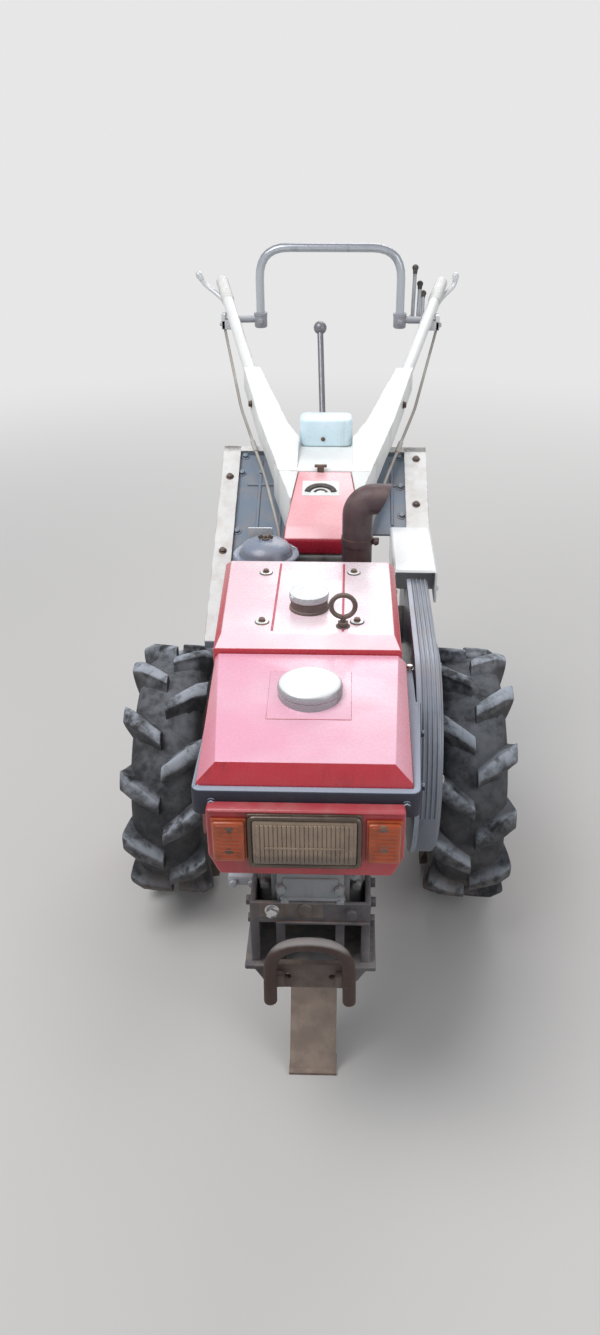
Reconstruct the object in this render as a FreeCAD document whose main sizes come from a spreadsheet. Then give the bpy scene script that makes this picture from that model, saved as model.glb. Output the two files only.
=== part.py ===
import FreeCAD, Part
# A two-wheel hand tractor, parked on its wheels and its front stand.
# Millimetres and degrees, +Z up, the front towards -Y. Every piece is drawn with y measured
# from the wheel axle and z from the ground, and is then set in place by the shift of the axle.
import math
import os
import Sketcher

Vector = FreeCAD.Vector

DIMENSIONS = (
    # name, value, what it is
    ("front_reach", 772, "axle to the front of the bumper bar"),
    ("rear_reach", 1215, "axle to the end of the handle grips"),
    ("running_gap", 0.3, "play between pieces that only just touch"),
    # wheels and axle
    ("tyre_radius", 300, "wheel centre to the tips of the lugs"),
    ("tyre_width", 180, "across the lugs"),
    ("tyre_track", 682, "between the middles of the tyres"),
    ("lug_depth", 27, "height of a lug over the casing"),
    ("lug_thick", 28, "a lug's face at the middle of the tread"),
    ("lug_shoulder", 40, "a lug's face at the shoulder"),
    ("lug_flare", 18, "a lug's foot, wider than its face"),
    ("lug_skew", 12, "degrees that a lug runs round the wheel"),
    ("lug_first", 268, "degrees round the wheel where the first lug starts"),
    ("rim_radius", 157, "rim under the tyre's bead"),
    ("rim_wall", 7, "thickness of the rim and its disc"),
    ("rim_width", 122, "between the rim's flanges"),
    ("hub_radius", 46, "wheel hub"),
    ("hub_inner", 234, "centre plane to the hub's inner end"),
    ("hub_length", 122, "hub from end to end"),
    ("axle_radius", 20, "axle shaft"),
    ("housing_radius", 50, "axle housing"),
    ("housing_flange", 66, "radius of the flange at the housing's end"),
    ("housing_end", 228, "centre plane to the housing's end"),
    # gearbox
    ("case_half", 75, "half the gearbox's width"),
    ("case_bottom", 220, "ground to the gearbox's bottom"),
    ("case_top", 800, "ground to the gearbox's top"),
    ("case_neck", 260, "depth of the gearbox's narrow upper part"),
    ("case_front", 90, "gearbox in front of the axle"),
    ("case_rear", 150, "gearbox behind the axle"),
    ("input_radius", 45, "housing of the input shaft"),
    ("input_rear", 150, "input shaft behind the axle"),
    ("input_height", 620, "input shaft over the ground"),
    # rails, engine and front frame
    ("rail_inner", 75, "centre plane to a rail's inner face"),
    ("rail_outer", 105, "centre plane to a rail's outer face"),
    ("rail_bottom", 360, "ground to the rails' bottom"),
    ("rail_top", 420, "ground to the rails' top"),
    ("rail_front", 600, "rails in front of the axle"),
    ("rail_rear", 60, "rails behind the axle"),
    ("engine_left", 165, "crankcase to the left of the centre plane"),
    ("engine_right", 150, "crankcase to the right of the centre plane"),
    ("engine_rear", 30, "crankcase's rear face in front of the axle"),
    ("crankcase_front", 430, "crankcase's front face in front of the axle"),
    ("engine_top", 715, "ground to the crankcase's top"),
    ("cylinder_half", 95, "half the cylinder block's width"),
    ("cylinder_bottom", 450, "ground to the cylinder block"),
    ("cylinder_front", 660, "cylinder block's front face in front of the axle"),
    ("head_half", 68, "half the cylinder head's width"),
    ("head_depth", 40, "cylinder head from back to front"),
    ("head_bottom", 470, "ground to the cylinder head"),
    ("head_top", 606, "ground to the top of the cylinder head"),
    ("bracket_plate", 10, "plates of the front frame"),
    ("bracket_front", 730, "front frame's flange in front of the axle"),
    ("bracket_cheek", 720, "front frame's cheeks in front of the axle"),
    ("bracket_top", 530, "ground to the top of the cheeks"),
    ("bracket_bottom", 380, "ground to the front frame's flange"),
    ("beam_bottom", 484, "ground to the beam between the cheeks"),
    ("beam_top", 530, "ground to the beam's top"),
    ("post_inner", 44, "centre plane to the inner upright posts"),
    ("post_wide", 16, "an upright post"),
    ("post_thick", 8, "sheet of the posts and the beam"),
    ("gusset_top", 100, "centre plane to the gussets' outer corner under the flange"),
    ("gusset_foot", 84, "centre plane to the gussets' lower corner"),
    ("bracket_flange", 117, "half the width of the flange"),
    ("hitch_half", 57, "half the width of the hitch plate"),
    ("hitch_bottom", 351, "ground to the hitch plate"),
    ("hitch_top", 407, "ground to the top of the hitch plate"),
    ("hitch_thick", 12, "hitch plate"),
    ("hitch_hole", 6.5, "radius of the two bolt holes"),
    ("hitch_spacing", 80, "between the two bolt holes"),
    ("hitch_hole_height", 378, "bolt holes over the ground"),
    ("bumper_radius", 12, "bumper bar"),
    ("bumper_half", 70, "bumper bar's foot from the centre plane"),
    ("bumper_crown_half", 68, "bumper bar's shoulder from the centre plane"),
    ("bumper_foot", 336, "ground to the bumper bar's ends"),
    ("bumper_top", 486, "ground to the top of the bumper bar"),
    ("bumper_bend", 66, "bend of the bumper bar"),
    ("bumper_lug", 26, "height of the lugs that hold the bumper bar"),
    ("bumper_lug_drop", 40, "those lugs' feet under the hitch plate's top"),
    # stand
    ("stand_pivot_front", 450, "stand's pivot in front of the axle"),
    ("stand_pivot_height", 300, "stand's pivot over the ground"),
    ("stand_foot_front", 636, "stand's foot in front of the axle"),
    ("stand_toe", 649, "front edge of the stand's foot in front of the axle"),
    ("stand_sole", 50, "foot from back to front"),
    ("stand_sole_thick", 6, "foot"),
    ("stand_ear", 50, "ears of the stand's bracket from front to back"),
    ("stand_half", 47, "half the stand's width"),
    ("stand_plate", 8, "sheet of the stand"),
    ("stand_flange", 26, "depth of the stand's channel"),
    ("stand_pin", 10, "radius of the stand's pin"),
    ("stand_boss", 17, "radius of the stand's pivot tube"),
    # tank, lamps and radiator
    ("tank_left", 186, "tank to the left of the centre plane"),
    ("tank_right", 168, "tank to the right of the centre plane"),
    ("tank_front", 700, "tank's front in front of the axle"),
    ("tank_rear", 392, "tank's rear in front of the axle"),
    ("tank_front_top", 803, "ground to the tank's top at the front"),
    ("tank_rear_top", 838, "ground to the tank's top at the rear"),
    ("tank_lip", 765, "ground to the foot of the tank's front slope"),
    ("tank_slope_left", 33, "slope along the tank's left side, at its front"),
    ("tank_slope_right", 30, "slope along the tank's right side, at its front"),
    ("tank_slope_rear_left", 7, "slope along the tank's left side, at its rear"),
    ("tank_slope_rear_right", 15, "slope along the tank's right side, at its rear"),
    ("fuel_cap_radius", 58, "fuel cap"),
    ("fuel_cap_front", 505, "fuel cap in front of the axle"),
    ("fuel_cap_side", -6, "fuel cap from the centre plane"),
    ("fuel_cap_height", 18, "fuel cap"),
    ("fuel_pad_top", 833, "ground to the pad under the fuel cap"),
    ("band_bottom", 715, "ground to the sheet band under the tank"),
    ("band_top", 765, "ground to the band's top"),
    ("band_wall", 8, "band outside the tank"),
    ("band_front", 716, "band's front in front of the axle"),
    ("band_round", 16, "band's rounded front corners"),
    ("band_corner", 181, "band's front corner on the belt side, from the centre plane"),
    ("band_lug", 196, "band's end on the belt side"),
    ("band_lug_rear", 432, "rear of that end in front of the axle"),
    ("band_strip", 187, "band's strip along the belt cover, from the centre plane"),
    ("band_strip_rear", 300, "rear of that strip in front of the axle"),
    ("panel_left", 167, "lamp panel to the left of the centre plane"),
    ("panel_right", 156, "lamp panel to the right of the centre plane"),
    ("panel_front", 742, "lamp panel's face in front of the axle"),
    ("panel_bottom", 612, "ground to the lamp panel"),
    ("panel_top", 746, "ground to the lamp panel's top"),
    ("panel_corner", 18, "cut lower corners of the lamp panel, width"),
    ("panel_corner_high", 40, "cut lower corners of the lamp panel, height"),
    ("headlamp_side", -7, "headlamp from the centre plane"),
    ("lamp_drop", 56, "middle of the lamps under the lamp panel's top"),
    ("headlamp_wide", 186, "headlamp"),
    ("headlamp_high", 105, "headlamp"),
    ("headlamp_rim", 8, "chrome rim"),
    ("headlamp_deep", 14, "headlamp in front of the panel"),
    ("indicator_left", -130, "left indicator from the centre plane"),
    ("indicator_right", 122, "right indicator from the centre plane"),
    ("indicator_wide", 58, "indicator"),
    ("indicator_high", 85, "indicator"),
    ("indicator_deep", 15, "indicator in front of the panel"),
    ("radiator_left", 190, "radiator cover to the left of the centre plane"),
    ("radiator_right", 160, "radiator cover to the right of the centre plane"),
    ("radiator_front", 390, "radiator cover's front in front of the axle"),
    ("radiator_rear", 5, "radiator cover's rear in front of the axle"),
    ("radiator_top", 858, "ground to the radiator cover's top"),
    ("radiator_bevel", 14, "slope along the radiator cover's sides"),
    ("radiator_left_rear", 206, "radiator cover's rear to the left of the centre plane"),
    ("radiator_right_rear", 159, "radiator cover's rear to the right of the centre plane"),
    ("radiator_nose", 42, "radiator cover's shallow front slope"),
    ("radiator_nose_drop", 11, "fall of that slope"),
    ("radiator_cap_radius", 39, "radiator cap"),
    ("radiator_cap_front", 239, "radiator cap in front of the axle"),
    ("radiator_cap_side", -17, "radiator cap from the centre plane"),
    ("radiator_cap_height", 42, "radiator cap"),
    ("radiator_neck", 18, "neck under the radiator cap"),
    ("hook_bar", 5, "radius of the lifting hook's bar"),
    ("hook_ring", 23, "radius of the hook's ring"),
    ("hook_front", 317, "hook in front of the axle"),
    ("hook_side", 50, "hook from the centre plane"),
    ("hook_height", 901, "middle of the ring over the ground"),
    # air cleaner and exhaust
    ("cleaner_side", -125, "air cleaner from the centre plane"),
    ("cleaner_rear", 76, "air cleaner behind the axle"),
    ("cleaner_bowl_deep", 117, "bowl under its rim"),
    ("cleaner_rim_height", 836, "ground to the bowl's rim"),
    ("cleaner_rim_radius", 74, "bowl's rim"),
    ("cleaner_bowl_radius", 63, "bowl"),
    ("cleaner_dome_radius", 59, "lid"),
    ("cleaner_dome_height", 32, "lid over the rim"),
    ("intake_radius", 24, "intake pipe"),
    ("intake_drop", 48, "intake pipe's middle under the bowl"),
    ("exhaust_radius", 33, "exhaust pipe"),
    ("exhaust_side", 78, "exhaust pipe from the centre plane"),
    ("exhaust_rear", 60, "exhaust pipe behind the axle"),
    ("exhaust_base", 680, "exhaust port over the ground"),
    ("exhaust_bend_height", 971, "middle of the exhaust's upper bend over the ground"),
    ("exhaust_tip", 72, "exhaust's tip from the pipe's middle line"),
    ("exhaust_wall", 4, "exhaust pipe's wall"),
    # belt drive
    ("cover_inner", 190, "centre plane to the belt cover"),
    ("cover_to_tyre", 13, "clearance between the belt cover and the tyre"),
    ("cover_top", 780, "ground to the belt cover's top"),
    ("flywheel_front", 270, "flywheel in front of the axle"),
    ("flywheel_height", 560, "flywheel over the ground"),
    ("flywheel_boss", 60, "radius of the flywheel's boss"),
    ("cover_rear", 300, "belt cover's rear behind the axle"),
    ("hood_inner", 161, "centre plane to the belt hood"),
    ("hood_outer", 260, "centre plane to the belt hood's outer face"),
    ("hood_front", 64, "belt hood's front behind the axle"),
    ("hood_rear", 325, "belt hood's rear behind the axle"),
    ("hood_bottom", 722, "ground to the belt hood"),
    ("hood_top", 800, "ground to the belt hood's top"),
    ("hood_wall", 5, "belt hood's sheet round its open front"),
    ("hood_hollow", 70, "depth of that open front"),
    # link cover, handle frame and tool box
    ("link_front", 146, "link cover's front behind the axle"),
    ("link_nose", 176, "where the link cover's top bends down, behind the axle"),
    ("link_nose_top", 862, "ground to that bend"),
    ("link_lip", 838, "ground to the link cover's front edge"),
    ("link_rear", 352, "link cover's rear behind the axle"),
    ("link_rear_top", 931, "ground to the link cover's rear edge"),
    ("link_half_low", 92, "half the link cover's width at the front"),
    ("link_half_high", 65, "half the link cover's width at the rear"),
    ("frame_front", 235, "handle frame's front on the gearbox"),
    ("frame_seat_rear", 300, "handle frame's seat on the gearbox, rear"),
    ("frame_step", 905, "ground to the frame under the link cover's rear"),
    ("frame_half", 112, "half the handle frame's width at the link cover's rear"),
    ("frame_nose_half", 72, "half the handle frame's width at its front"),
    ("frame_rear_half", 128, "half the handle frame's width at the rear of its base"),
    ("cheek_front", 262, "front of the frame's cheeks beside the link cover, behind the axle"),
    ("frame_base_rear", 400, "rear of the broad base behind the axle"),
    ("shelf_half", 68, "half the width of the tool box's shelf"),
    ("shelf_rear", 562, "rear of the shelf behind the axle"),
    ("shelf_top", 952, "ground to the shelf"),
    ("shelf_under", 915, "ground to the shelf's underside at its rear"),
    ("arm_end", 722, "arms' ends behind the axle"),
    ("arm_end_side", 203, "middle of the arms' ends from the centre plane"),
    ("arm_end_wide", 44, "width of the arms' ends"),
    ("arm_end_height", 1060, "middle of the arms' ends over the ground"),
    ("arm_end_high", 58, "height of the arms' ends"),
    ("arm_fork", 528, "place where an arm has left the shelf, behind the axle"),
    ("arm_fork_inner", 102, "arm's inner face there"),
    ("arm_fork_outer", 171, "arm's outer face there"),
    ("box_half", 66, "half the tool box's width"),
    ("box_front", 468, "tool box's front behind the axle"),
    ("box_rear", 540, "tool box's rear behind the axle"),
    ("box_top", 1022, "ground to the tool box's top"),
    ("box_round", 22, "tool box's rounded corners"),
    # handles and controls
    ("tube_radius", 16.5, "handle tube"),
    ("grip_radius", 18.5, "handle grip"),
    ("grip_length", 125, "handle grip"),
    ("grip_side", 331, "grip's end from the centre plane"),
    ("grip_height", 1225, "grip's end over the ground"),
    ("hoop_radius", 12, "hoop's tube"),
    ("hoop_half", 198, "hoop's legs from the centre plane"),
    ("hoop_rear", 1000, "hoop behind the axle"),
    ("hoop_foot", 1140, "ground to the hoop's feet"),
    ("hoop_top", 1358, "ground to the hoop's top"),
    ("hoop_bend", 75, "hoop's bends"),
    ("socket_radius", 18, "hoop's sockets"),
    ("socket_floor", 8, "bottom of a socket"),
    ("socket_top", 1172, "ground to the sockets' tops"),
    ("stay_radius", 10, "stay between a socket and the handle"),
    ("gear_rod", 8, "radius of the gear lever"),
    ("gear_knob", 17, "radius of the gear lever's knob"),
    ("knob_side", -22, "gear lever's knob from the centre plane"),
    ("knob_rear", 757, "gear lever's knob behind the axle"),
    ("knob_height", 1182, "gear lever's knob over the ground"),
    ("lever_radius", 7, "squeeze levers"),
    ("lever_pivot", 190, "squeeze lever's pivot in front of the grip's end"),
    ("lever_under", 36, "squeeze lever's bar under the middle of the tube"),
    ("lever_bend", 40, "squeeze lever's bend in front of the grip's end"),
    ("lever_tip_left", 70, "left squeeze lever's tip beside the grip's middle"),
    ("lever_tip_right", 42, "right squeeze lever's tip beside the grip's middle"),
    ("ear_wide", 36, "squeeze lever's ear"),
    ("ear_beside", 12, "ear's middle beside the middle of the tube"),
    ("ear_long", 34, "that ear from front to back"),
    ("ear_deep", 44, "that ear under the middle of the tube"),
    ("block_wide", 52, "block that carries the small levers"),
    ("block_long", 34, "that block from front to back"),
    ("block_high", 14, "that block"),
    ("block_inward", 62, "that block's inner end from the tube's middle"),
    ("block_under", 24, "that block under the tube's middle"),
    ("lever_seat", 337, "small levers' block behind the start of the tube"),
    ("small_lever", 5.5, "radius of the small levers"),
    ("control_rod", 4, "radius of the control rods"),
    ("rod_beside", 29, "control rod's upper bend beside the middle of the arm's end"),
    ("rod_ahead", 32, "upper bend in front of the arm's end"),
    ("rod_under", 75, "upper bend under the middle of the arm's end"),
    ("rod_low_beside", 38, "control rod's lower bend beside the frame"),
    ("rod_low_behind", 78, "lower bend behind the link cover"),
    ("rod_low_under", 51, "lower bend under the link cover's rear edge"),
    ("rod_entry", 40, "control rod's end under the gearbox's top"),
    ("control_knob", 9, "radius of the small levers' knobs"),
    # splash guard and rear hitch
    ("guard_left", 268, "splash guard to the left of the centre plane"),
    ("guard_right", 258, "splash guard to the right of the centre plane"),
    ("guard_front", 20, "guard's front edge behind the axle"),
    ("guard_front_height", 620, "guard's front edge over the ground"),
    ("guard_rear", 580, "guard's rear edge behind the axle"),
    ("guard_rear_height", 900, "guard's rear edge over the ground"),
    ("guard_sheet", 5, "guard's sheet"),
    ("guard_rail_left", 44, "width of the rail along the guard's left side"),
    ("guard_rail_right", 56, "width of the rail along the guard's right side"),
    ("guard_rail_high", 12, "those rails over the sheet"),
    ("guard_right_front", 326, "front edge on the belt side behind the axle"),
    ("coupler_half", 46, "half the rear hitch's width"),
    ("coupler_ear", 14, "ears of the rear hitch"),
    ("coupler_low", 280, "ground to the lower ear"),
    ("coupler_high", 346, "ground to the upper ear"),
    ("coupler_rear", 272, "rear hitch's end behind the axle"),
    ("coupler_plate", 15, "plate that carries the ears"),
    ("coupler_bore", 10, "radius of the pin's bore"),
    ("coupler_bore_rear", 238, "pin's bore behind the axle"),
)

document = FreeCAD.newDocument("HandTractor")
sheet = document.addObject("Spreadsheet::Sheet", "Dims")
pieces = []
own_y = {}


class Size:
    """A number together with the expression that gives it from the sheet."""

    def __init__(self, text, value):
        self.text = text
        self.value = value

    def __float__(self):
        return self.value

    def __add__(self, other):
        other = as_size(other)
        return Size("(%s + %s)" % (self.text, other.text), self.value + other.value)

    def __sub__(self, other):
        other = as_size(other)
        return Size("(%s - %s)" % (self.text, other.text), self.value - other.value)

    def __mul__(self, other):
        other = as_size(other)
        return Size("(%s * %s)" % (self.text, other.text), self.value * other.value)

    def __truediv__(self, other):
        other = as_size(other)
        return Size("(%s / %s)" % (self.text, other.text), self.value / other.value)

    def __neg__(self):
        return Size("(-%s)" % self.text, -self.value)

    def __radd__(self, other):
        return as_size(other) + self

    def __rsub__(self, other):
        return as_size(other) - self

    def __rmul__(self, other):
        return as_size(other) * self


def as_size(number):
    """Give a plain number the form of a size."""
    if isinstance(number, Size):
        return number
    return Size("(%r)" % float(number), float(number))


def fill_sheet():
    """Write the driving dimensions and give each cell its name."""
    sheet.set("A1", "name")
    sheet.set("B1", "value")
    sheet.set("C1", "what it is")
    for row, (name, value, meaning) in enumerate(DIMENSIONS, 2):
        sheet.set("A%d" % row, name)
        sheet.set("B%d" % row, str(value))
        sheet.set("C%d" % row, meaning)
        sheet.setAlias("B%d" % row, name)
    document.recompute()


class Dimensions:
    """The sheet's cells by name, each as a size."""

    def __getattr__(self, name):
        return Size("Dims." + name, float(sheet.get(name)))


D = Dimensions()


def bind(thing, name, size):
    """Tie one property to the sheet."""
    thing.setExpression(name, as_size(size).text)


def point(x, y, z):
    """A vector from sizes or numbers."""
    return Vector(float(x), float(y), float(z))


def box(x, y, z):
    """A block between two values along each axis."""
    block = document.addObject("Part::Box", "Block")
    for side, span in zip(("Length", "Width", "Height"), (x, y, z)):
        bind(block, side, span[1] - span[0])
    for axis, span in zip("xyz", (x, y, z)):
        bind(block, "Placement.Base." + axis, span[0])
    own_y[block.Name] = as_size(y[0])
    return block


TURNS = {
    "X": FreeCAD.Rotation(Vector(0, 1, 0), 90),
    "Y": FreeCAD.Rotation(Vector(1, 0, 0), -90),
    "Z": FreeCAD.Rotation(),
}


def cylinder(axis, start, radius, length):
    """A cylinder that runs from a start point along +X, +Y or +Z."""
    drum = document.addObject("Part::Cylinder", "Drum")
    drum.Placement = FreeCAD.Placement(Vector(), TURNS[axis])
    bind(drum, "Radius", radius)
    bind(drum, "Height", length)
    for name, place in zip("xyz", start):
        bind(drum, "Placement.Base." + name, place)
    own_y[drum.Name] = as_size(start[1])
    return drum


def draw(sketch, corners):
    """Draw a closed outline of straight lines, with each corner tied to the sheet."""
    count = len(corners)
    flat = [Vector(float(across), float(up), 0) for across, up in corners]
    for index in range(count):
        sketch.addGeometry(Part.LineSegment(flat[index], flat[(index + 1) % count]), False)
    for index in range(count):
        sketch.addConstraint(Sketcher.Constraint("Coincident", index, 2, (index + 1) % count, 1))
    for index, (across, up) in enumerate(corners):
        for kind, size in (("DistanceX", across), ("DistanceY", up)):
            place = sketch.addConstraint(Sketcher.Constraint(kind, index, 1, float(size)))
            sketch.setExpression("Constraints[%d]" % place, as_size(size).text)


def slab(plane, corners, low, high):
    """An outline in the XY, XZ or YZ plane, padded from low to high across that plane."""
    body = document.addObject("PartDesign::Body", "Slab")
    sketch = body.newObject("Sketcher::SketchObject", "Outline")
    role = plane + "_Plane"
    base = [item for item in body.Origin.OriginFeatures if item.Role == role][0]
    sketch.AttachmentSupport = [(base, "")]
    sketch.MapMode = "FlatFace"
    draw(sketch, corners)
    bind(sketch, "AttachmentOffset.Base.z", -as_size(high) if plane == "XZ" else low)
    pad = body.newObject("PartDesign::Pad", "Pad")
    pad.Profile = sketch
    bind(pad, "Length", high - low)
    return body


def dressed(body, kind, amount, keep):
    """Round or bevel the edges of a body that keep() picks."""
    document.recompute()
    tip = body.Tip
    names = []
    for index, edge in enumerate(tip.Shape.Edges, 1):
        if keep(edge.BoundBox):
            names.append("Edge%d" % index)
    feature = body.newObject("PartDesign::" + kind, kind)
    feature.Base = (tip, names)
    bind(feature, "Radius" if kind == "Fillet" else "Size", amount)
    return body


def runs_along(axis):
    """A test for straight edges along one axis."""
    def keep(bounds):
        spans = {"X": bounds.XLength, "Y": bounds.YLength, "Z": bounds.ZLength}
        along = spans.pop(axis)
        return along > 1 and max(spans.values()) < 0.01
    return keep


def formed(shape):
    """A piece whose shape is worked out here from the sheet's values."""
    feature = document.addObject("Part::Feature", "Form")
    feature.Shape = shape
    return feature


def joined(*forms):
    """Several forms made one solid."""
    whole = document.addObject("Part::MultiFuse", "Joined")
    whole.Shapes = list(forms)
    whole.Refine = True
    return whole


def cut(form, *tools):
    """A form less one or more tools."""
    tool = tools[0] if len(tools) == 1 else joined(*tools)
    less = document.addObject("Part::Cut", "Less")
    less.Base = form
    less.Tool = tool
    less.Refine = True
    return less


def overlap(first, second):
    """What two forms have in common."""
    both = document.addObject("Part::Common", "Common")
    both.Base = first
    both.Tool = second
    both.Refine = True
    return both


def piece(name, form):
    """Name a finished piece and shift it so that the whole is centred on the origin."""
    form.Label = name
    shift = (D.front_reach - D.rear_reach) / 2
    own = own_y.get(form.Name)
    bind(form, "Placement.Base.y", shift + own if own else shift)
    pieces.append(form)


def spans(side, low, high):
    """Low and high along X on one side of the centre plane."""
    if side > 0:
        return low, high
    return -as_size(high), -as_size(low)


def bent_path(points, bend):
    """Straight runs joined by tangent arcs."""
    edges = []
    start = points[0]
    for before, corner, after in zip(points, points[1:], points[2:]):
        toward = before - corner
        away = after - corner
        room = 0.45 * min(toward.Length, away.Length)
        toward.normalize()
        away.normalize()
        half = toward.getAngle(away) / 2
        radius = min(bend, room * math.tan(half))
        reach = radius / math.tan(half)
        inward = toward + away
        inward.normalize()
        first = corner + toward * reach
        last = corner + away * reach
        middle = corner + inward * (radius / math.sin(half) - radius)
        edges.append(Part.LineSegment(start, first).toShape())
        edges.append(Part.Arc(first, middle, last).toShape())
        start = last
    edges.append(Part.LineSegment(start, points[-1]).toShape())
    return Part.Wire(edges)


def bent_rod(points, radius, bend):
    """A round bar bent along a path."""
    path = bent_path(points, float(bend))
    ring = Part.makeCircle(float(radius), points[0], points[1] - points[0])
    return path.makePipeShell([Part.Wire(ring)], True, True)


def rod(start, end, radius):
    """A straight round bar."""
    return Part.makeCylinder(float(radius), (end - start).Length, start, end - start)


def section(corners):
    """A closed flat wire through corner points."""
    return Part.makePolygon(list(corners) + [corners[0]])


def loft(sections):
    """A ruled solid through sections with the same number of corners."""
    return Part.makeLoft([section(corners) for corners in sections], True, True)


def around_axle(radius, degrees, across):
    """A point at a radius from the axle, its angle taken from +Y through +Z."""
    angle = math.radians(degrees)
    centre = float(D.tyre_radius)
    return Vector(across, radius * math.cos(angle), centre + radius * math.sin(angle))


def turned(profile):
    """A solid of revolution about the axle from (x, radius) pairs."""
    corners = [Vector(across, 0, float(D.tyre_radius) + radius) for across, radius in profile]
    face = Part.Face(section(corners))
    return face.revolve(Vector(0, 0, float(D.tyre_radius)), Vector(1, 0, 0), 360)


def lug(side, middle, angle):
    """One bar of the tread, from near the middle of the tyre out over its shoulder."""
    outer = float(D.tyre_radius)
    half = float(D.tyre_width) / 2
    casing = outer - float(D.lug_depth)
    thick = float(D.lug_thick)
    shoulder = float(D.lug_shoulder)
    flare = float(D.lug_flare)
    skew = float(D.lug_skew)
    rows = (
        # share of the half width, share of the skew, width of the face, inner and outer radius
        (0.02, 0.0, thick, casing - 8, outer),
        (0.62, 0.62, 0.4 * thick + 0.6 * shoulder, casing - 10, outer - 1),
        (1.0, 1.0, shoulder, casing - 38, outer - 14),
    )
    sections = []
    for share, turn, wide, low, high in rows:
        across = middle + side * share * half
        centre = angle - turn * skew
        head = math.degrees(wide / 2 / casing)
        foot = math.degrees((wide + flare) / 2 / casing)
        sections.append([
            around_axle(low, centre - foot, across),
            around_axle(high, centre - head, across),
            around_axle(high, centre + head, across),
            around_axle(low, centre + foot, across),
        ])
    return loft(sections)


LUGS_PER_SIDE = 12


def tyre(side):
    """The casing with two staggered rows of lugs."""
    middle = side * float(D.tyre_track) / 2
    casing = float(D.tyre_radius - D.lug_depth)
    gap = float(D.running_gap)
    bead = float(D.rim_radius) + gap
    half = float(D.tyre_width) / 2
    wall = float(D.rim_wall)
    seat = float(D.rim_width) / 2 - wall
    profile = (
        # share of the half width or plain offset, radius
        (seat - gap, bead), (seat - gap, bead + wall + gap), (0.80 * half, bead + 26),
        (0.86 * half, bead + 58), (0.80 * half, casing - 22), (0.5 * half, casing - 4), (0, casing),
    )
    mirrored = [(-across, radius) for across, radius in profile[-2::-1]]
    outline = [(middle + across, radius) for across, radius in list(profile) + mirrored]
    pitch = 360 / LUGS_PER_SIDE
    first = float(D.lug_first)
    bars = []
    for step in range(LUGS_PER_SIDE):
        bars.append(lug(1, middle, first + step * pitch))
        bars.append(lug(-1, middle, first + (step + 0.5) * pitch))
    return formed(turned(outline).fuse(bars).removeSplitter())


def wheel(side):
    """Rim, disc, hub and axle shaft in one piece."""
    middle = float(D.tyre_track) / 2
    rim = float(D.rim_radius)
    wall = float(D.rim_wall)
    half = float(D.rim_width) / 2
    hub = float(D.hub_radius)
    inner = float(D.hub_inner)
    outer = inner + float(D.hub_length)
    shaft = float(D.axle_radius)
    start = float(D.case_half + 6)
    disc = middle + 4
    profile = (
        (start, 0), (start, shaft), (inner, shaft), (inner, hub), (disc - wall, hub),
        (disc - wall, rim - wall), (middle - half, rim - wall), (middle - half, rim + wall),
        (middle - half + wall, rim + wall), (middle - half + wall, rim),
        (middle + half - wall, rim), (middle + half - wall, rim + wall),
        (middle + half, rim + wall), (middle + half, rim - wall), (disc, rim - wall),
        (disc, hub), (outer, hub), (outer, 0),
    )
    return formed(turned([(side * across, radius) for across, radius in profile]))


def build_wheels():
    """Both wheels, each turning on its own axle."""
    for name, side in (("left", -1), ("right", 1)):
        piece("tyre_" + name, tyre(side))
        piece("wheel_" + name, wheel(side))


def build_gearbox():
    """Gearbox casting with its axle housings and input shaft housing."""
    outline = (
        (-D.case_front, D.case_bottom), (D.case_rear, D.case_bottom),
        (D.case_rear, D.case_bottom + 200), (D.case_rear + 65, D.case_top - 160),
        (D.frame_seat_rear, D.case_top), (D.link_front, D.case_top),
        (D.link_front, D.case_top - D.case_neck),
        (6 - D.engine_rear, D.rail_top + 60), (6 - D.engine_rear, D.rail_top - 6),
        (-D.case_front, D.rail_top - 6),
    )
    case = slab("YZ", outline, -D.case_half, D.case_half)
    dressed(case, "Fillet", 10, runs_along("X"))
    forms = [case]
    bores = []
    flange = 16
    for side in (-1, 1):
        low, high = spans(side, D.case_half - 5, D.housing_end)
        forms.append(cylinder("X", (low, 0, D.tyre_radius), D.housing_radius, high - low))
        low, high = spans(side, D.housing_end - flange, D.housing_end)
        forms.append(cylinder("X", (low, 0, D.tyre_radius), D.housing_flange, high - low))
        low, high = spans(side, D.case_half + 5, D.housing_end + 5)
        bore = D.axle_radius + D.running_gap
        bores.append(cylinder("X", (low, 0, D.tyre_radius), bore, high - low))
    input_start = (D.case_half - 5, D.input_rear, D.input_height)
    forms.append(cylinder("X", input_start, D.input_radius, D.cover_inner - D.case_half + 5))
    piece("transmission_case", cut(joined(*forms), *bores))


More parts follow.
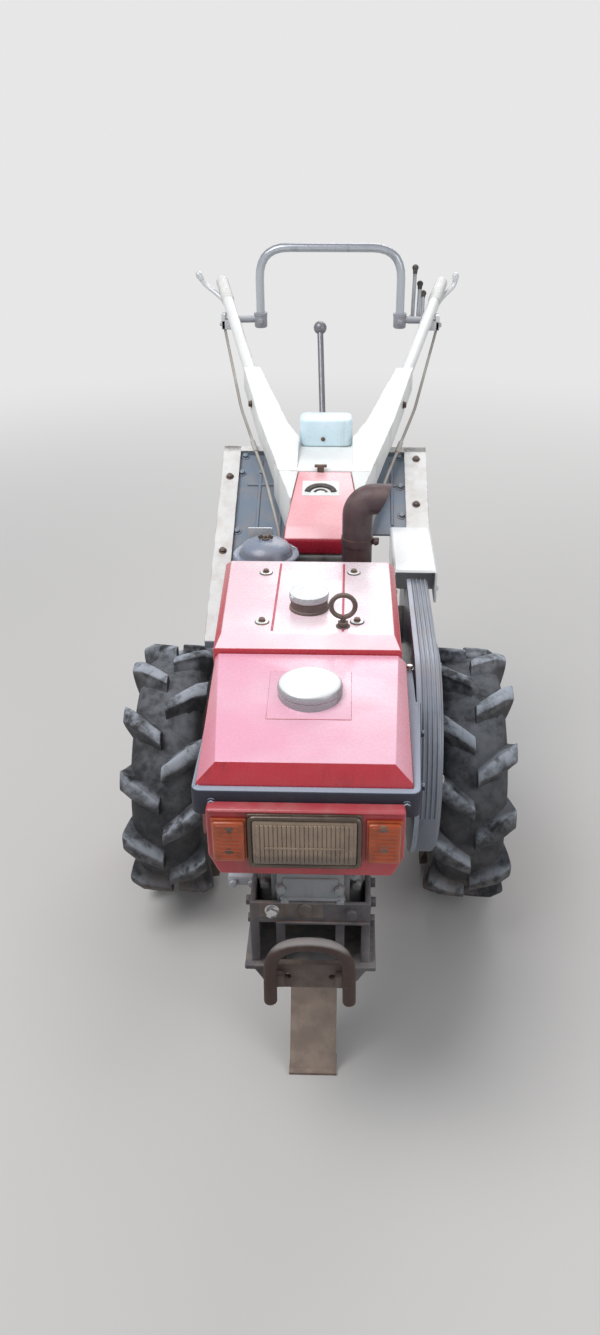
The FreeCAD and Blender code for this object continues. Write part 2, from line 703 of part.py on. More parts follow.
def build_rails():
    """Two rails from the gearbox forward, and the front frame that ends them."""
    rails = []
    for side in (-1, 1):
        across = spans(side, D.rail_inner, D.rail_outer)
        along = (-D.rail_front, D.rail_rear)
        rails.append(box(across, along, (D.rail_bottom, D.rail_top)))
    for name, rail in zip(("left", "right"), rails):
        piece("engine_rail_" + name, rail)
    flange = (D.bracket_bottom, D.bracket_bottom + D.bracket_plate)
    along = (-D.bracket_front, -D.rail_front)
    forms = [box((-D.bracket_flange, D.bracket_flange), along, flange)]
    face = (-D.bracket_cheek, D.post_thick - D.bracket_cheek)
    forms.append(box((-D.rail_outer, D.rail_outer), face, (D.beam_bottom, D.beam_top)))
    for side in (-1, 1):
        across = spans(side, D.rail_outer - D.bracket_plate, D.rail_outer)
        along = (-D.bracket_cheek, -D.rail_front)
        forms.append(box(across, along, (D.bracket_bottom, D.bracket_top)))
        for inner in (D.post_inner, D.rail_outer - D.post_wide):
            post = spans(side, inner, inner + D.post_wide)
            forms.append(box(post, face, (D.bracket_bottom, D.beam_top)))
        corners = [
            (side * D.hitch_half, D.bracket_bottom + 1), (side * D.hitch_half, D.hitch_bottom),
            (side * D.gusset_foot, D.hitch_bottom + 3), (side * D.gusset_top, D.bracket_bottom + 1),
        ]
        rear = D.bracket_plate - D.bracket_front
        forms.append(slab("XZ", corners if side > 0 else corners[::-1], -D.bracket_front, rear))
    piece("front_frame", joined(*forms))


def build_hitch():
    """Front hitch plate with two bolt holes, and the bent bumper bar on it."""
    face = -D.bracket_front
    across = (-D.hitch_half, D.hitch_half)
    plate = box(across, (face - D.hitch_thick, face), (D.hitch_bottom, D.hitch_top))
    holes = []
    for side in (-1, 1):
        start = (side * D.hitch_spacing / 2, face - 2 * D.hitch_thick, D.hitch_hole_height)
        holes.append(cylinder("Y", start, D.hitch_hole, 3 * D.hitch_thick))
    piece("front_hitch", cut(plate, *holes))
    bar = float(D.bumper_radius)
    along = bar - float(D.front_reach)
    foot = float(D.bumper_half)
    crown = float(D.bumper_crown_half)
    top = float(D.bumper_top) - bar
    low = float(D.bumper_foot)
    route = [Vector(-foot, along, low), Vector(-crown, along, top)]
    route += [Vector(crown, along, top), Vector(foot, along, low)]
    shape = bent_rod(route, bar, D.bumper_bend)
    front = float(face - D.hitch_thick)
    for side in (-1, 1):
        inner = side * (float(D.hitch_half) - bar)
        outer = side * foot
        corner = point(min(inner, outer), along, D.hitch_top - D.bumper_lug_drop)
        shape = shape.fuse(Part.makeBox(abs(outer - inner), front - along, float(D.bumper_lug), corner))
    piece("front_bumper", formed(shape.removeSplitter()))


def build_stand():
    """Stand leg that folds back, and the bracket with its pin under the rails."""
    pivot = (-D.stand_pivot_front, D.stand_pivot_height)
    ear_inner = D.stand_half + 3
    ear_outer = ear_inner + D.bracket_plate
    ear = D.stand_ear
    along = (pivot[0] - ear / 2, pivot[0] + ear / 2)
    shelf = (D.rail_top - D.bracket_plate - 8, D.rail_top - 8)
    forms = [box((-D.rail_inner, D.rail_inner), (pivot[0] - ear, pivot[0] + ear), shelf)]
    for side in (-1, 1):
        across = spans(side, ear_inner, ear_outer)
        forms.append(box(across, along, (pivot[1] - ear / 2, shelf[1])))
    forms.append(cylinder("X", (-ear_outer - 6, pivot[0], pivot[1]), D.stand_pin, 2 * (ear_outer + 6)))
    piece("stand_bracket", joined(*forms))
    centre = point(0, pivot[0], pivot[1])
    foot = point(0, -D.stand_foot_front, 0)
    run = foot - centre
    tilt = math.degrees(math.atan2(run.y, -run.z))
    half = float(D.stand_half)
    sheet_mm = float(D.stand_plate)
    reach = run.Length + 40
    deep = float(D.stand_flange)
    leg = Part.makeBox(2 * half, sheet_mm, reach, Vector(-half, -sheet_mm / 2, -reach))
    for side in (-1, 1):
        corner = Vector(side * half - (sheet_mm if side > 0 else 0), 0, -reach)
        leg = leg.fuse(Part.makeBox(sheet_mm, deep, reach, corner))
    leg.Placement = FreeCAD.Placement(centre, FreeCAD.Rotation(Vector(1, 0, 0), tilt))
    across = Vector(1, 0, 0)
    tube = Part.makeCylinder(float(D.stand_boss), 2 * half, centre - across * half, across)
    toe = Vector(-half - 1, -float(D.stand_toe), 0)
    pad = Part.makeBox(2 * half + 2, float(D.stand_sole), float(D.stand_sole_thick), toe)
    above = Part.makeBox(4 * half, reach, reach, Vector(-2 * half, -float(D.stand_toe), 0))
    bore = float(D.stand_pin + D.running_gap)
    hole = Part.makeCylinder(bore, 4 * half, centre - across * 2 * half, across)
    shape = leg.fuse([tube, pad]).common(above).cut(hole)
    piece("stand_leg", formed(shape.removeSplitter()))


def build_engine():
    """Crankcase and cylinder block as one heavy mass, with the head in front."""
    crank = slab(
        "XZ",
        ((-D.engine_left, D.rail_top), (D.engine_right, D.rail_top),
         (D.engine_right, D.engine_top), (-D.engine_left, D.engine_top)),
        -D.crankcase_front, -D.engine_rear,
    )
    dressed(crank, "Fillet", 14, runs_along("Y"))
    across = (-D.cylinder_half, D.cylinder_half)
    block = box(across, (-D.cylinder_front, -D.crankcase_front + 5), (D.cylinder_bottom, D.engine_top))
    start = (D.engine_right - 5, -D.flywheel_front, D.flywheel_height)
    boss = cylinder("X", start, D.flywheel_boss, D.cover_inner - D.engine_right + 5)
    piece("engine_block", joined(crank, block, boss))
    head = slab(
        "XZ",
        ((-D.head_half, D.head_bottom), (D.head_half, D.head_bottom),
         (D.head_half, D.head_top), (-D.head_half, D.head_top)),
        -D.cylinder_front - D.head_depth, -D.cylinder_front,
    )
    dressed(head, "Fillet", 12, runs_along("Y"))
    piece("cylinder_head", head)


def shouldered(ends, base):
    """Form between two ends of a box that has a 45 degree slope along the top of each side.

    Each end is y, left, right, left slope, right slope and top. It stands a little over its
    top, which another form trims.
    """
    over = 6
    sections = []
    for row in ends:
        along, left, right, slope_left, slope_right, top = (float(value) for value in row)
        low = top - slope_left, top - slope_right
        inner = slope_left + over - left, right - slope_right - over
        sections.append([
            point(-left, along, base), point(right, along, base), point(right, along, low[1]),
            point(inner[1], along, top + over), point(inner[0], along, top + over),
            point(-left, along, low[0]),
        ])
    return loft(sections)


def build_tank():
    """Fuel tank with its sloped shoulders, pad and cap, and the sheet band round its foot."""
    outline = (
        (-D.tank_front, D.band_bottom), (-D.tank_front, D.tank_lip),
        (-D.tank_front + 12, D.tank_front_top), (-D.tank_rear, D.tank_rear_top),
        (-D.tank_rear, D.band_bottom),
    )
    rise = float(D.tank_rear_top - D.tank_front_top) / float(D.tank_front - 12 - D.tank_rear)
    ends = (
        (-D.tank_front, D.tank_left, D.tank_right, D.tank_slope_left, D.tank_slope_right,
         D.tank_front_top - 12 * rise),
        (-D.tank_rear, D.tank_left, D.tank_right, D.tank_slope_rear_left, D.tank_slope_rear_right,
         D.tank_rear_top),
    )
    body = slab("YZ", outline, -D.tank_left - 20, D.tank_right + 20)
    tank = overlap(body, formed(shouldered(ends, D.band_bottom - 10)))
    pad_base = (D.fuel_cap_side, -D.fuel_cap_front, D.band_bottom + 20)
    pad = cylinder("Z", pad_base, D.fuel_cap_radius - 2, D.fuel_pad_top - D.band_bottom - 20)
    piece("fuel_tank", joined(tank, pad))
    cap_base = (D.fuel_cap_side, -D.fuel_cap_front, D.fuel_pad_top)
    piece("fuel_cap", cylinder("Z", cap_base, D.fuel_cap_radius, D.fuel_cap_height))
    left = -D.tank_left - D.band_wall
    plan = (
        (left, -D.tank_rear), (left, -D.band_front), (D.band_corner, -D.band_front),
        (D.band_lug, -D.band_lug_rear), (D.band_strip, -D.band_lug_rear),
        (D.band_strip, -D.band_strip_rear), (D.tank_right, -D.band_strip_rear),
        (D.tank_right, -D.tank_rear),
    )
    band = slab("XY", plan, D.band_bottom, D.band_top)
    front = 1 - float(D.band_front)
    dressed(band, "Fillet", D.band_round, lambda b: b.YMax < front and b.ZLength > 1)
    inner = box((-D.tank_left, D.tank_right), (-D.tank_front, -D.tank_rear + 1), (D.band_bottom, D.band_top))
    piece("tank_band", cut(band, inner))


def build_lamps():
    """Lamp panel, headlamp and the two indicators."""
    back = -D.cylinder_front
    side_view = (
        (-D.panel_front, D.panel_bottom), (-D.panel_front, D.panel_top),
        (-D.band_front, D.panel_top), (-D.band_front, D.band_bottom),
        (back, D.band_bottom), (back, D.panel_bottom + 28),
    )
    front_view = (
        (-D.panel_left + D.panel_corner, D.panel_bottom), (D.panel_right - D.panel_corner, D.panel_bottom),
        (D.panel_right, D.panel_bottom + D.panel_corner_high), (D.panel_right, D.panel_top),
        (-D.panel_left, D.panel_top), (-D.panel_left, D.panel_bottom + D.panel_corner_high),
    )
    body = slab("YZ", side_view, -D.panel_left, D.panel_right)
    face = slab("XZ", front_view, -D.panel_front, back)
    piece("lamp_panel", overlap(body, face))
    lamp_height = D.panel_top - D.lamp_drop
    high = (lamp_height - D.headlamp_high / 2, lamp_height + D.headlamp_high / 2)
    wide = (D.headlamp_side - D.headlamp_wide / 2, D.headlamp_side + D.headlamp_wide / 2)
    front = -D.panel_front - D.headlamp_deep
    rim = D.headlamp_rim
    outer = box(wide, (front, -D.panel_front), high)
    window = ((wide[0] + rim, wide[1] - rim), (high[0] + rim, high[1] - rim))
    hole = box(window[0], (front - 1, -D.panel_front + 1), window[1])
    piece("headlamp_rim", cut(outer, hole))
    lens = slab(
        "XZ",
        ((window[0][0], window[1][0]), (window[0][1], window[1][0]),
         (window[0][1], window[1][1]), (window[0][0], window[1][1])),
        front - 4, -D.panel_front,
    )
    piece("headlamp_lens", lens)
    for name, side in (("left", D.indicator_left), ("right", D.indicator_right)):
        wide = (side - D.indicator_wide / 2, side + D.indicator_wide / 2)
        high = (lamp_height - D.indicator_high / 2, lamp_height + D.indicator_high / 2)
        along = (-D.panel_front - D.indicator_deep, -D.panel_front)
        piece("indicator_" + name, box(wide, along, high))


def build_radiator():
    """Radiator cover, its filler cap and the lifting hook beside it."""
    outline = (
        (-D.radiator_front, D.engine_top), (-D.radiator_front, D.radiator_top - D.radiator_nose_drop),
        (-D.radiator_front + D.radiator_nose, D.radiator_top), (-D.radiator_rear - 14, D.radiator_top),
        (-D.radiator_rear, D.radiator_top - 18), (-D.radiator_rear, D.engine_top),
    )
    slope = D.radiator_bevel
    ends = (
        (-D.radiator_front, D.radiator_left, D.radiator_right, slope, slope, D.radiator_top),
        (-D.radiator_rear, D.radiator_left_rear, D.radiator_right_rear, slope, slope, D.radiator_top),
    )
    body = slab("YZ", outline, -D.radiator_left - 40, D.radiator_right + 40)
    piece("radiator_cover", overlap(body, formed(shouldered(ends, D.engine_top - 10))))
    place = (D.radiator_cap_side, -D.radiator_cap_front, D.radiator_top)
    neck = cylinder("Z", place, D.radiator_cap_radius - 8, D.radiator_neck + 2)
    lid_place = (place[0], place[1], place[2] + D.radiator_neck)
    lid = cylinder("Z", lid_place, D.radiator_cap_radius, D.radiator_cap_height - D.radiator_neck)
    piece("radiator_cap", joined(neck, lid))
    bar = float(D.hook_bar)
    centre = point(D.hook_side, -D.hook_front, D.hook_height)
    foot = point(D.hook_side, -D.hook_front, D.radiator_top)
    ring = Part.makeTorus(float(D.hook_ring), bar, centre, Vector(0, 1, 0))
    stem = rod(foot, centre - Vector(0, 0, float(D.hook_ring)), bar)
    collar = Part.makeCylinder(2.2 * bar, 5, foot)
    piece("lifting_hook", formed(ring.fuse([stem, collar]).removeSplitter()))


def build_breathing():
    """Oil bath air cleaner with its intake pipe, and the exhaust pipe."""
    side = float(D.cleaner_side)
    rear = float(D.cleaner_rear)
    rim = float(D.cleaner_rim_height)
    low = rim - float(D.cleaner_bowl_deep)
    wide = float(D.cleaner_rim_radius)
    bowl = float(D.cleaner_bowl_radius)
    dome = float(D.cleaner_dome_radius)
    lid = float(D.cleaner_dome_height)
    profile = (
        # radius, height
        (0, low), (bowl - 12, low), (bowl, low + 12), (bowl, rim - 10), (wide, rim - 6),
        (wide, rim), (dome, rim), (dome - 4, rim + 0.45 * lid), (dome * 0.7, rim + 0.82 * lid),
        (dome * 0.35, rim + lid), (0, rim + lid),
    )
    face = Part.Face(section([Vector(side + radius, rear, height) for radius, height in profile]))
    body = face.revolve(Vector(side, rear, 0), Vector(0, 0, 1), 360)
    back = -float(D.engine_rear)
    pipe_height = low - float(D.intake_drop)
    route = [Vector(side, rear, low + 5), Vector(side, rear, pipe_height), Vector(side, back, pipe_height)]
    pipe = bent_rod(route, D.intake_radius, D.intake_radius * 1.4)
    piece("air_cleaner", formed(body.fuse(pipe).removeSplitter()))
    across = float(D.exhaust_side)
    along = float(D.exhaust_rear)
    base = float(D.exhaust_base)
    bore = D.exhaust_radius
    bend = float(D.exhaust_bend_height)
    tip = across + float(D.exhaust_tip)
    end = Vector(tip + 10, along, bend)
    route = [Vector(across, back, base), Vector(across, along, base), Vector(across, along, bend), end]
    wide = float(bore)
    elbow = 1.15 * wide
    pipe = bent_rod(route, wide, elbow)
    bore_route = [Vector(across, along, bend - 2 * wide), route[2], end + Vector(10, 0, 0)]
    hollow = bent_rod(bore_route, wide - float(D.exhaust_wall), elbow)
    lip = across + elbow + 2
    slash = section([
        Vector(lip, along - 2 * wide, bend - 2 * wide), Vector(lip, along - 2 * wide, bend - wide - 1),
        Vector(tip, along - 2 * wide, bend + wide + 1), Vector(tip + 40, along - 2 * wide, bend + wide + 1),
        Vector(tip + 40, along - 2 * wide, bend - 2 * wide),
    ])
    waste = Part.Face(slash).extrude(Vector(0, 4 * wide, 0))
    piece("exhaust_pipe", formed(pipe.cut(hollow).cut(waste)))


def build_belt_drive():
    """Belt cover from the flywheel back to the gearbox, and the hood over its rear end."""
    cover_outer = (D.tyre_track - D.tyre_width) / 2 - D.cover_to_tyre
    outline = (
        (D.hood_front, D.cover_top), (-D.flywheel_front, D.cover_top),
        (-D.flywheel_front, 2 * D.flywheel_height - D.cover_top), (D.input_rear + 50, D.input_height - 140),
        (D.cover_rear, D.input_height - 60), (D.cover_rear, D.hood_bottom),
        (D.hood_front, D.hood_bottom),
    )
    long_part = slab("YZ", outline, D.cover_inner, cover_outer)
    start = (D.cover_inner, -D.flywheel_front, D.flywheel_height)
    drum = cylinder("X", start, D.cover_top - D.flywheel_height, cover_outer - D.cover_inner)
    piece("belt_cover", joined(long_part, drum))
    hood = slab(
        "XZ",
        ((D.hood_inner, D.hood_bottom), (D.hood_outer, D.hood_bottom),
         (D.hood_outer, D.hood_top), (D.hood_inner, D.hood_top)),
        D.hood_front, D.hood_rear,
    )
    top = float(D.hood_top)
    dressed(hood, "Fillet", 8, lambda b: b.ZMin > top - 0.01)
    mouth = box(
        (D.hood_inner + D.hood_wall, D.hood_outer - D.hood_wall),
        (D.hood_front - 1, D.hood_front + D.hood_hollow), (D.hood_bottom - 1, D.hood_top - D.hood_wall),
    )
    piece("belt_hood", cut(hood, mouth))


def build_link_cover():
    """Link cover that narrows as it rises over the front of the handle frame."""
    side_view = (
        (D.link_front, D.case_top), (D.frame_front, D.case_top), (D.link_rear, D.frame_step),
        (D.link_rear, D.link_rear_top), (D.link_nose, D.link_nose_top),
        (D.link_front, D.link_lip),
    )
    plan = (
        (-D.link_half_low, D.link_front), (D.link_half_low, D.link_front),
        (D.link_half_high, D.link_rear), (-D.link_half_high, D.link_rear),
    )
    body = slab("YZ", side_view, -D.link_half_low, D.link_half_low)
    outline = slab("XY", plan, D.case_top, D.link_rear_top)
    piece("link_cover", overlap(body, outline))


def arm(side):
    """One box-section arm of the handle frame."""
    half = float(D.arm_end_wide) / 2
    end_x = float(D.arm_end_side)
    end_z = float(D.arm_end_height)
    high = float(D.arm_end_high) / 2
    base = float(D.frame_half)
    shelf = float(D.shelf_half)
    start = float(D.link_rear) + 4
    end = float(D.arm_end)
    step = float(D.link_rear_top)
    front = float(D.box_front)
    fork = float(D.arm_fork)
    rise = (end_z + high - step) / (end - start)
    deep = 2 * high
    fork_outer = float(D.arm_fork_outer)
    rows = (
        # y, inner x, outer x, height of the arm
        (start, shelf - 1, base, deep + 12),
        (front, shelf - 1, base + (fork_outer - base) * (front - start) / (fork - start), deep),
        (fork, float(D.arm_fork_inner), fork_outer, deep),
        (end, end_x - half, end_x + half, deep),
    )
    sections = []
    for along, inner, outer, tall in rows:
        top = step - 1 + (along - start) * rise
        low = top - tall
        sections.append([
            Vector(side * inner, along, low), Vector(side * outer, along, low),
            Vector(side * outer, along, top), Vector(side * inner, along, top),
        ])
    return loft(sections)


def edge_at(along, front, rear):
    """Half a width at a place along Y, on a straight edge between two (half width, y) points."""
    return front[0] + (rear[0] - front[0]) * ((along - front[1]) / (rear[1] - front[1]))


def cheek(side):
    """A cheek of the handle frame that fills the corner beside the link cover."""
    front = D.cheek_front
    gap = D.running_gap
    cover = ((D.link_half_low, D.link_front), (D.link_half_high, D.link_rear))
    frame = ((D.frame_nose_half, D.frame_front), (D.frame_half, D.link_rear))
    plan = [
        (edge_at(front, *cover) + gap, front), (edge_at(front, *frame), front),
        (D.frame_half, D.link_rear), (D.link_half_high + gap, D.link_rear),
    ]
    if side < 0:
        plan = [(-across, along) for across, along in reversed(plan)]
    foot = edge_at(front, (D.case_top, D.frame_front), (D.frame_step, D.link_rear))
    top = edge_at(front, (D.link_nose_top, D.link_nose), (D.link_rear_top, D.link_rear))
    side_view = ((front, foot), (D.link_rear, D.frame_step), (D.link_rear, D.link_rear_top - 1), (front, top - 1))
    body = slab("YZ", side_view, -D.frame_half, D.frame_half)
    return overlap(body, slab("XY", plan, D.case_top, D.link_rear_top))


def build_handle_frame():
    """Broad base on the gearbox, two arms, and the shelf with the tool box."""
    shelf_outline = (
        (D.frame_front, D.case_top), (D.frame_seat_rear, D.case_top),
        (D.shelf_rear, D.shelf_under), (D.shelf_rear, D.shelf_top),
        (D.box_front - 8, D.shelf_top), (D.link_rear, D.link_rear_top), (D.link_rear, D.frame_step),
    )
    shelf = slab("YZ", shelf_outline, -D.shelf_half, D.shelf_half)
    rear = D.frame_base_rear
    base_outline = (
        (D.frame_front, D.case_top), (D.frame_seat_rear, D.case_top),
        (rear, D.case_top + 50), (rear, D.link_rear_top + 8),
        (D.link_rear, D.link_rear_top), (D.link_rear, D.frame_step),
    )
    plan = (
        (-D.frame_nose_half, D.frame_front), (D.frame_nose_half, D.frame_front),
        (D.frame_half, D.link_rear), (D.frame_rear_half, rear),
        (-D.frame_rear_half, rear), (-D.frame_half, D.link_rear),
    )
    side_view = slab("YZ", base_outline, -D.frame_rear_half, D.frame_rear_half)
    base = overlap(side_view, slab("XY", plan, D.case_top, D.link_rear_top + 10))
    sides = [formed(arm(side)) for side in (-1, 1)] + [cheek(side) for side in (-1, 1)]
    piece("handle_frame", joined(shelf, base, *sides))
    outline = (
        (-D.box_half, D.shelf_top), (D.box_half, D.shelf_top),
        (D.box_half, D.box_top), (-D.box_half, D.box_top),
    )
    tool_box = slab("XZ", outline, D.box_front, D.box_rear)
    mid = float(D.shelf_top) + 10
    dressed(tool_box, "Fillet", D.box_round, lambda b: b.ZMax > mid and b.ZLength > 10)
    piece("tool_box", tool_box)
    start = point(-10, D.shelf_rear + 1.3, D.shelf_top - 16)
    knob = point(D.knob_side, D.knob_rear, D.knob_height)
    shape = bent_rod([start, start + Vector(0, 30, 4), knob], D.gear_rod, 20)
    shape = shape.fuse(Part.makeSphere(float(D.gear_knob), knob))
    piece("gear_lever", formed(shape))


def tube_ends(side):
    """Start and end of a handle tube's middle line."""
    start = point(side * D.arm_end_side, D.arm_end, D.arm_end_height)
    end = point(side * D.grip_side, D.rear_reach, D.grip_height)
    run = end - start
    run.normalize()
    tip = float(D.grip_radius) * math.sqrt(1 - run.y * run.y)
    return start, end - run * (tip / run.y), run


def handle_tube(side, play):
    """The handle tube, grown by a play so that it can also cut its neighbours."""
    start, end, run = tube_ends(side)
    return rod(start - run * 20, end - run * 4, float(D.tube_radius) + play)


def handle_tubes():
    """Handle tubes with their grips."""
    for name, side in (("left", -1), ("right", 1)):
        start, end, run = tube_ends(side)
        reach = float(D.rear_reach)
        behind = Part.makeBox(2 * reach, reach, 2 * reach, point(-reach, D.arm_end + D.running_gap, 0))
        piece("handle_tube_" + name, formed(handle_tube(side, 0).common(behind)))
        grip = rod(end - run * float(D.grip_length), end, D.grip_radius)
        piece("handle_grip_" + name, formed(grip.cut(handle_tube(side, float(D.running_gap)))))


def hoop():
    """The hoop between the handles, its sockets and their stays."""
    half = float(D.hoop_half)
    rear = float(D.hoop_rear)
    foot = float(D.hoop_foot)
    top = float(D.hoop_top - D.hoop_radius)
    route = [Vector(-half, rear, foot), Vector(-half, rear, top)]
    route += [Vector(half, rear, top), Vector(half, rear, foot)]
    piece("handle_hoop", formed(bent_rod(route, D.hoop_radius, D.hoop_bend)))
    floor = foot - float(D.socket_floor)
    sockets = []
    for side in (-1, 1):
        base = Vector(side * half, rear, floor)
        shell = rod(base, Vector(side * half, rear, float(D.socket_top)), D.socket_radius)
        stay_height = foot + 15
        start, end, run = tube_ends(side)
        reach = (rear - start.y) / run.y
        stay = rod(Vector(side * half, rear, stay_height), start + run * reach, D.stay_radius)
        play = D.hoop_radius + D.running_gap
        room = rod(Vector(side * half, rear, foot), Vector(side * half, rear, top), play)
        whole = shell.fuse(stay).cut(room).cut(handle_tube(side, float(D.running_gap)))
        sockets.append(whole)
    piece("hoop_sockets", formed(Part.makeCompound(sockets)))


def levers():
    """Squeeze levers at the grips, small levers by the right handle, and the control rods."""
    bar = float(D.lever_radius)
    wide = float(D.ear_wide)
    long = float(D.ear_long)
    deep = float(D.ear_deep)
    grip = float(D.grip_radius)
    for name, side, tip in (("left", -1, D.lever_tip_left), ("right", 1, D.lever_tip_right)):
        start, end, run = tube_ends(side)
        pivot = end - run * float(D.lever_pivot)
        under = point(0, 0, -D.lever_under)
        out = float(tip)
        route = [
            pivot + under, end - run * float(D.lever_bend) + under,
            end - run * (0.8 * grip) + Vector(side * (1.1 * grip + 0.5 * out), 0, -0.1 * grip),
            end - run * (0.6 * grip) + Vector(side * out, 0, 1.2 * grip),
        ]
        shape = bent_rod(route, bar, 2 * grip)
        beside = side * float(D.ear_beside) - wide / 2
        ear = Part.makeBox(wide, long, deep, pivot + Vector(beside, -long / 2, -deep))
        shape = shape.fuse(ear).cut(handle_tube(side, float(D.running_gap)))
        piece("steering_lever_" + name, formed(shape))
    start, end, run = tube_ends(1)
    seat = start + run * float(D.lever_seat)
    corner = seat + point(-D.block_inward, -D.block_long / 2, -D.block_under)
    block = Part.makeBox(float(D.block_wide), float(D.block_long), float(D.block_high), corner)
    forms = []
    table = (
        # foot from the tube, knob behind the foot, knob over the tube
        (-48, 50, 118), (-32, 62, 72), (-20, 84, 42),
    )
    for across, back, up in table:
        foot = seat + point(across, 0, D.block_high - D.block_under - 4)
        knob = seat + Vector(across + 6, back, up)
        forms.append(rod(foot, knob, D.small_lever))
        forms.append(Part.makeSphere(float(D.control_knob), knob))
    shape = block.fuse(forms).cut(handle_tube(1, float(D.running_gap)))
    piece("control_levers", formed(shape))
    rods = []
    for side in (-1, 1):
        start, end, run = tube_ends(side)
        foot_x = side * (float(D.ear_beside) + wide / 4)
        ear_foot = end - run * float(D.lever_pivot) + Vector(foot_x, -long / 6, -deep - 3.5)
        entry = D.case_top - D.rod_entry
        low = (D.frame_half + D.rod_low_beside, D.link_rear + D.rod_low_behind)
        route = [
            ear_foot,
            start + point(side * D.rod_beside, -D.rod_ahead, -D.rod_under),
            point(side * low[0], low[1], D.link_rear_top - D.rod_low_under),
            point(side * D.frame_half, D.frame_seat_rear, D.case_top),
            point(side * (D.case_half + 29), D.frame_front + 27, entry),
            point(side * (D.case_half + 0.9), D.frame_front + 23, entry),
        ]
        rods.append(bent_rod(route, D.control_rod, 30))
    piece("control_rods", formed(Part.makeCompound(rods)))


def guard_form(inner, outer, front, rear, lift, thick):
    """A flat bar on the guard's slope, between two distances behind the axle."""
    slope = (D.guard_rear_height - D.guard_front_height) / (D.guard_rear - D.guard_front)
    low = D.guard_front_height + (front - D.guard_front) * slope + lift
    high = D.guard_front_height + (rear - D.guard_front) * slope + lift
    corners = ((front, low), (rear, high), (rear, high + thick), (front, low + thick))
    return slab("YZ", corners, inner, outer)


def build_guard():
    """Sloping splash guard under the handles, in two leaves beside the gearbox."""
    table = (
        # side, half width, width of the rail, front edge
        (-1, D.guard_left, D.guard_rail_left, D.guard_front),
        (1, D.guard_right, D.guard_rail_right, D.guard_right_front),
    )
    forms = []
    rear = D.guard_rear
    for side, half, rail, front in table:
        leaf = spans(side, D.case_half, half)
        forms.append(guard_form(leaf[0], leaf[1], front, rear, 0, D.guard_sheet))
        edge = spans(side, half - rail, half)
        forms.append(guard_form(edge[0], edge[1], front, rear, D.guard_sheet, D.guard_rail_high))
        forms.append(guard_form(leaf[0], leaf[1], rear - 16, rear, D.guard_sheet, D.guard_rail_high))
    bridge = guard_form(-D.guard_left, D.guard_right, rear - 40, rear, -12, 12)
    forms.append(bridge)
    piece("splash_guard", joined(*forms))


def build_rear_hitch():
    """Rear hitch with two ears and a bore for its pin."""
    plate = (D.case_rear, D.case_rear + D.coupler_plate)
    across = (-D.coupler_half, D.coupler_half)
    forms = [box(across, plate, (D.coupler_low - 20, D.coupler_high + D.coupler_ear + 20))]
    for low in (D.coupler_low, D.coupler_high):
        forms.append(box(across, (D.case_rear, D.coupler_rear), (low, low + D.coupler_ear)))
    start = (0, D.coupler_bore_rear, D.coupler_low - 10)
    bore = cylinder("Z", start, D.coupler_bore, D.coupler_high - D.coupler_low + D.coupler_ear + 20)
    piece("rear_hitch", cut(joined(*forms), bore))


def check_and_write():
    """Stop on any failed object or bad shape, then write one file for each piece."""
    document.recompute()
    for thing in document.Objects:
        bad = [state for state in thing.State if state in ("Invalid", "Error")]
        if bad:
            raise RuntimeError("%s (%s) is %s" % (thing.Name, thing.Label, bad))
    os.makedirs("parts", exist_ok=True)
    for form in pieces:
        shape = form.Shape
        if shape.isNull() or not shape.isValid() or shape.Volume < 1:
            raise RuntimeError("%s has no good shape" % form.Label)
    for form in pieces:
        form.Shape.exportStep("parts/%s.step" % form.Label)
        print("%-24s %2d solids %9.1f cm3" % (form.Label, len(form.Shape.Solids), form.Shape.Volume / 1000))


fill_sheet()
build_wheels()
build_gearbox()
build_rails()
build_hitch()
build_stand()
build_engine()
build_tank()
build_lamps()
build_radiator()
build_breathing()
build_belt_drive()
build_link_cover()
build_handle_frame()
handle_tubes()
hoop()
levers()
build_guard()
build_rear_hitch()
check_and_write()
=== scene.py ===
"""Looks of a two-wheel hand tractor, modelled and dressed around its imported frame."""

import logging
import math
import random
from dataclasses import dataclass, replace
from enum import Enum
from typing import Iterable, Sequence, Union

import bmesh
import bpy
from mathutils import Euler, Matrix, Vector, noise


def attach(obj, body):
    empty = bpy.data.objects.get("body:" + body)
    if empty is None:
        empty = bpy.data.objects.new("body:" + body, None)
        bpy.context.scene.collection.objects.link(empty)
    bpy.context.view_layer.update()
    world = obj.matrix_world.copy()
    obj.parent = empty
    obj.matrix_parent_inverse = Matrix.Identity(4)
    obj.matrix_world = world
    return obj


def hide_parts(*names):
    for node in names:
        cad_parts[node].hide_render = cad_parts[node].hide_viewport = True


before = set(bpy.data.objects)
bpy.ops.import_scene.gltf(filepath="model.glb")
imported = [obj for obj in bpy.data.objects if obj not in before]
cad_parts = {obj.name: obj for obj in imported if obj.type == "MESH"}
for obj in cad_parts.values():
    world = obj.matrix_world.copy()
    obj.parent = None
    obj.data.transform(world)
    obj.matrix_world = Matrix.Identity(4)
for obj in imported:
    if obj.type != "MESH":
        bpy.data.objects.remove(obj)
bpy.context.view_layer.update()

LOG = logging.getLogger("hand_tractor")
Colour = tuple[float, float, float]
Number = Union[float, "Value"]
CHASSIS = "chassis"
STAND = "front_stand_body"
AXLE = Vector((0.0, -0.2215, 0.300))


class Axis(Enum):
    """The three directions of the frame."""

    X = "X"
    Y = "Y"
    Z = "Z"

    @property
    def turn(self) -> Matrix:
        """Rotation that brings +Z onto this axis."""
        if self is Axis.X:
            return Matrix.Rotation(math.pi / 2, 3, "Y")
        if self is Axis.Y:
            return Matrix.Rotation(-math.pi / 2, 3, "X")
        return Matrix.Identity(3)


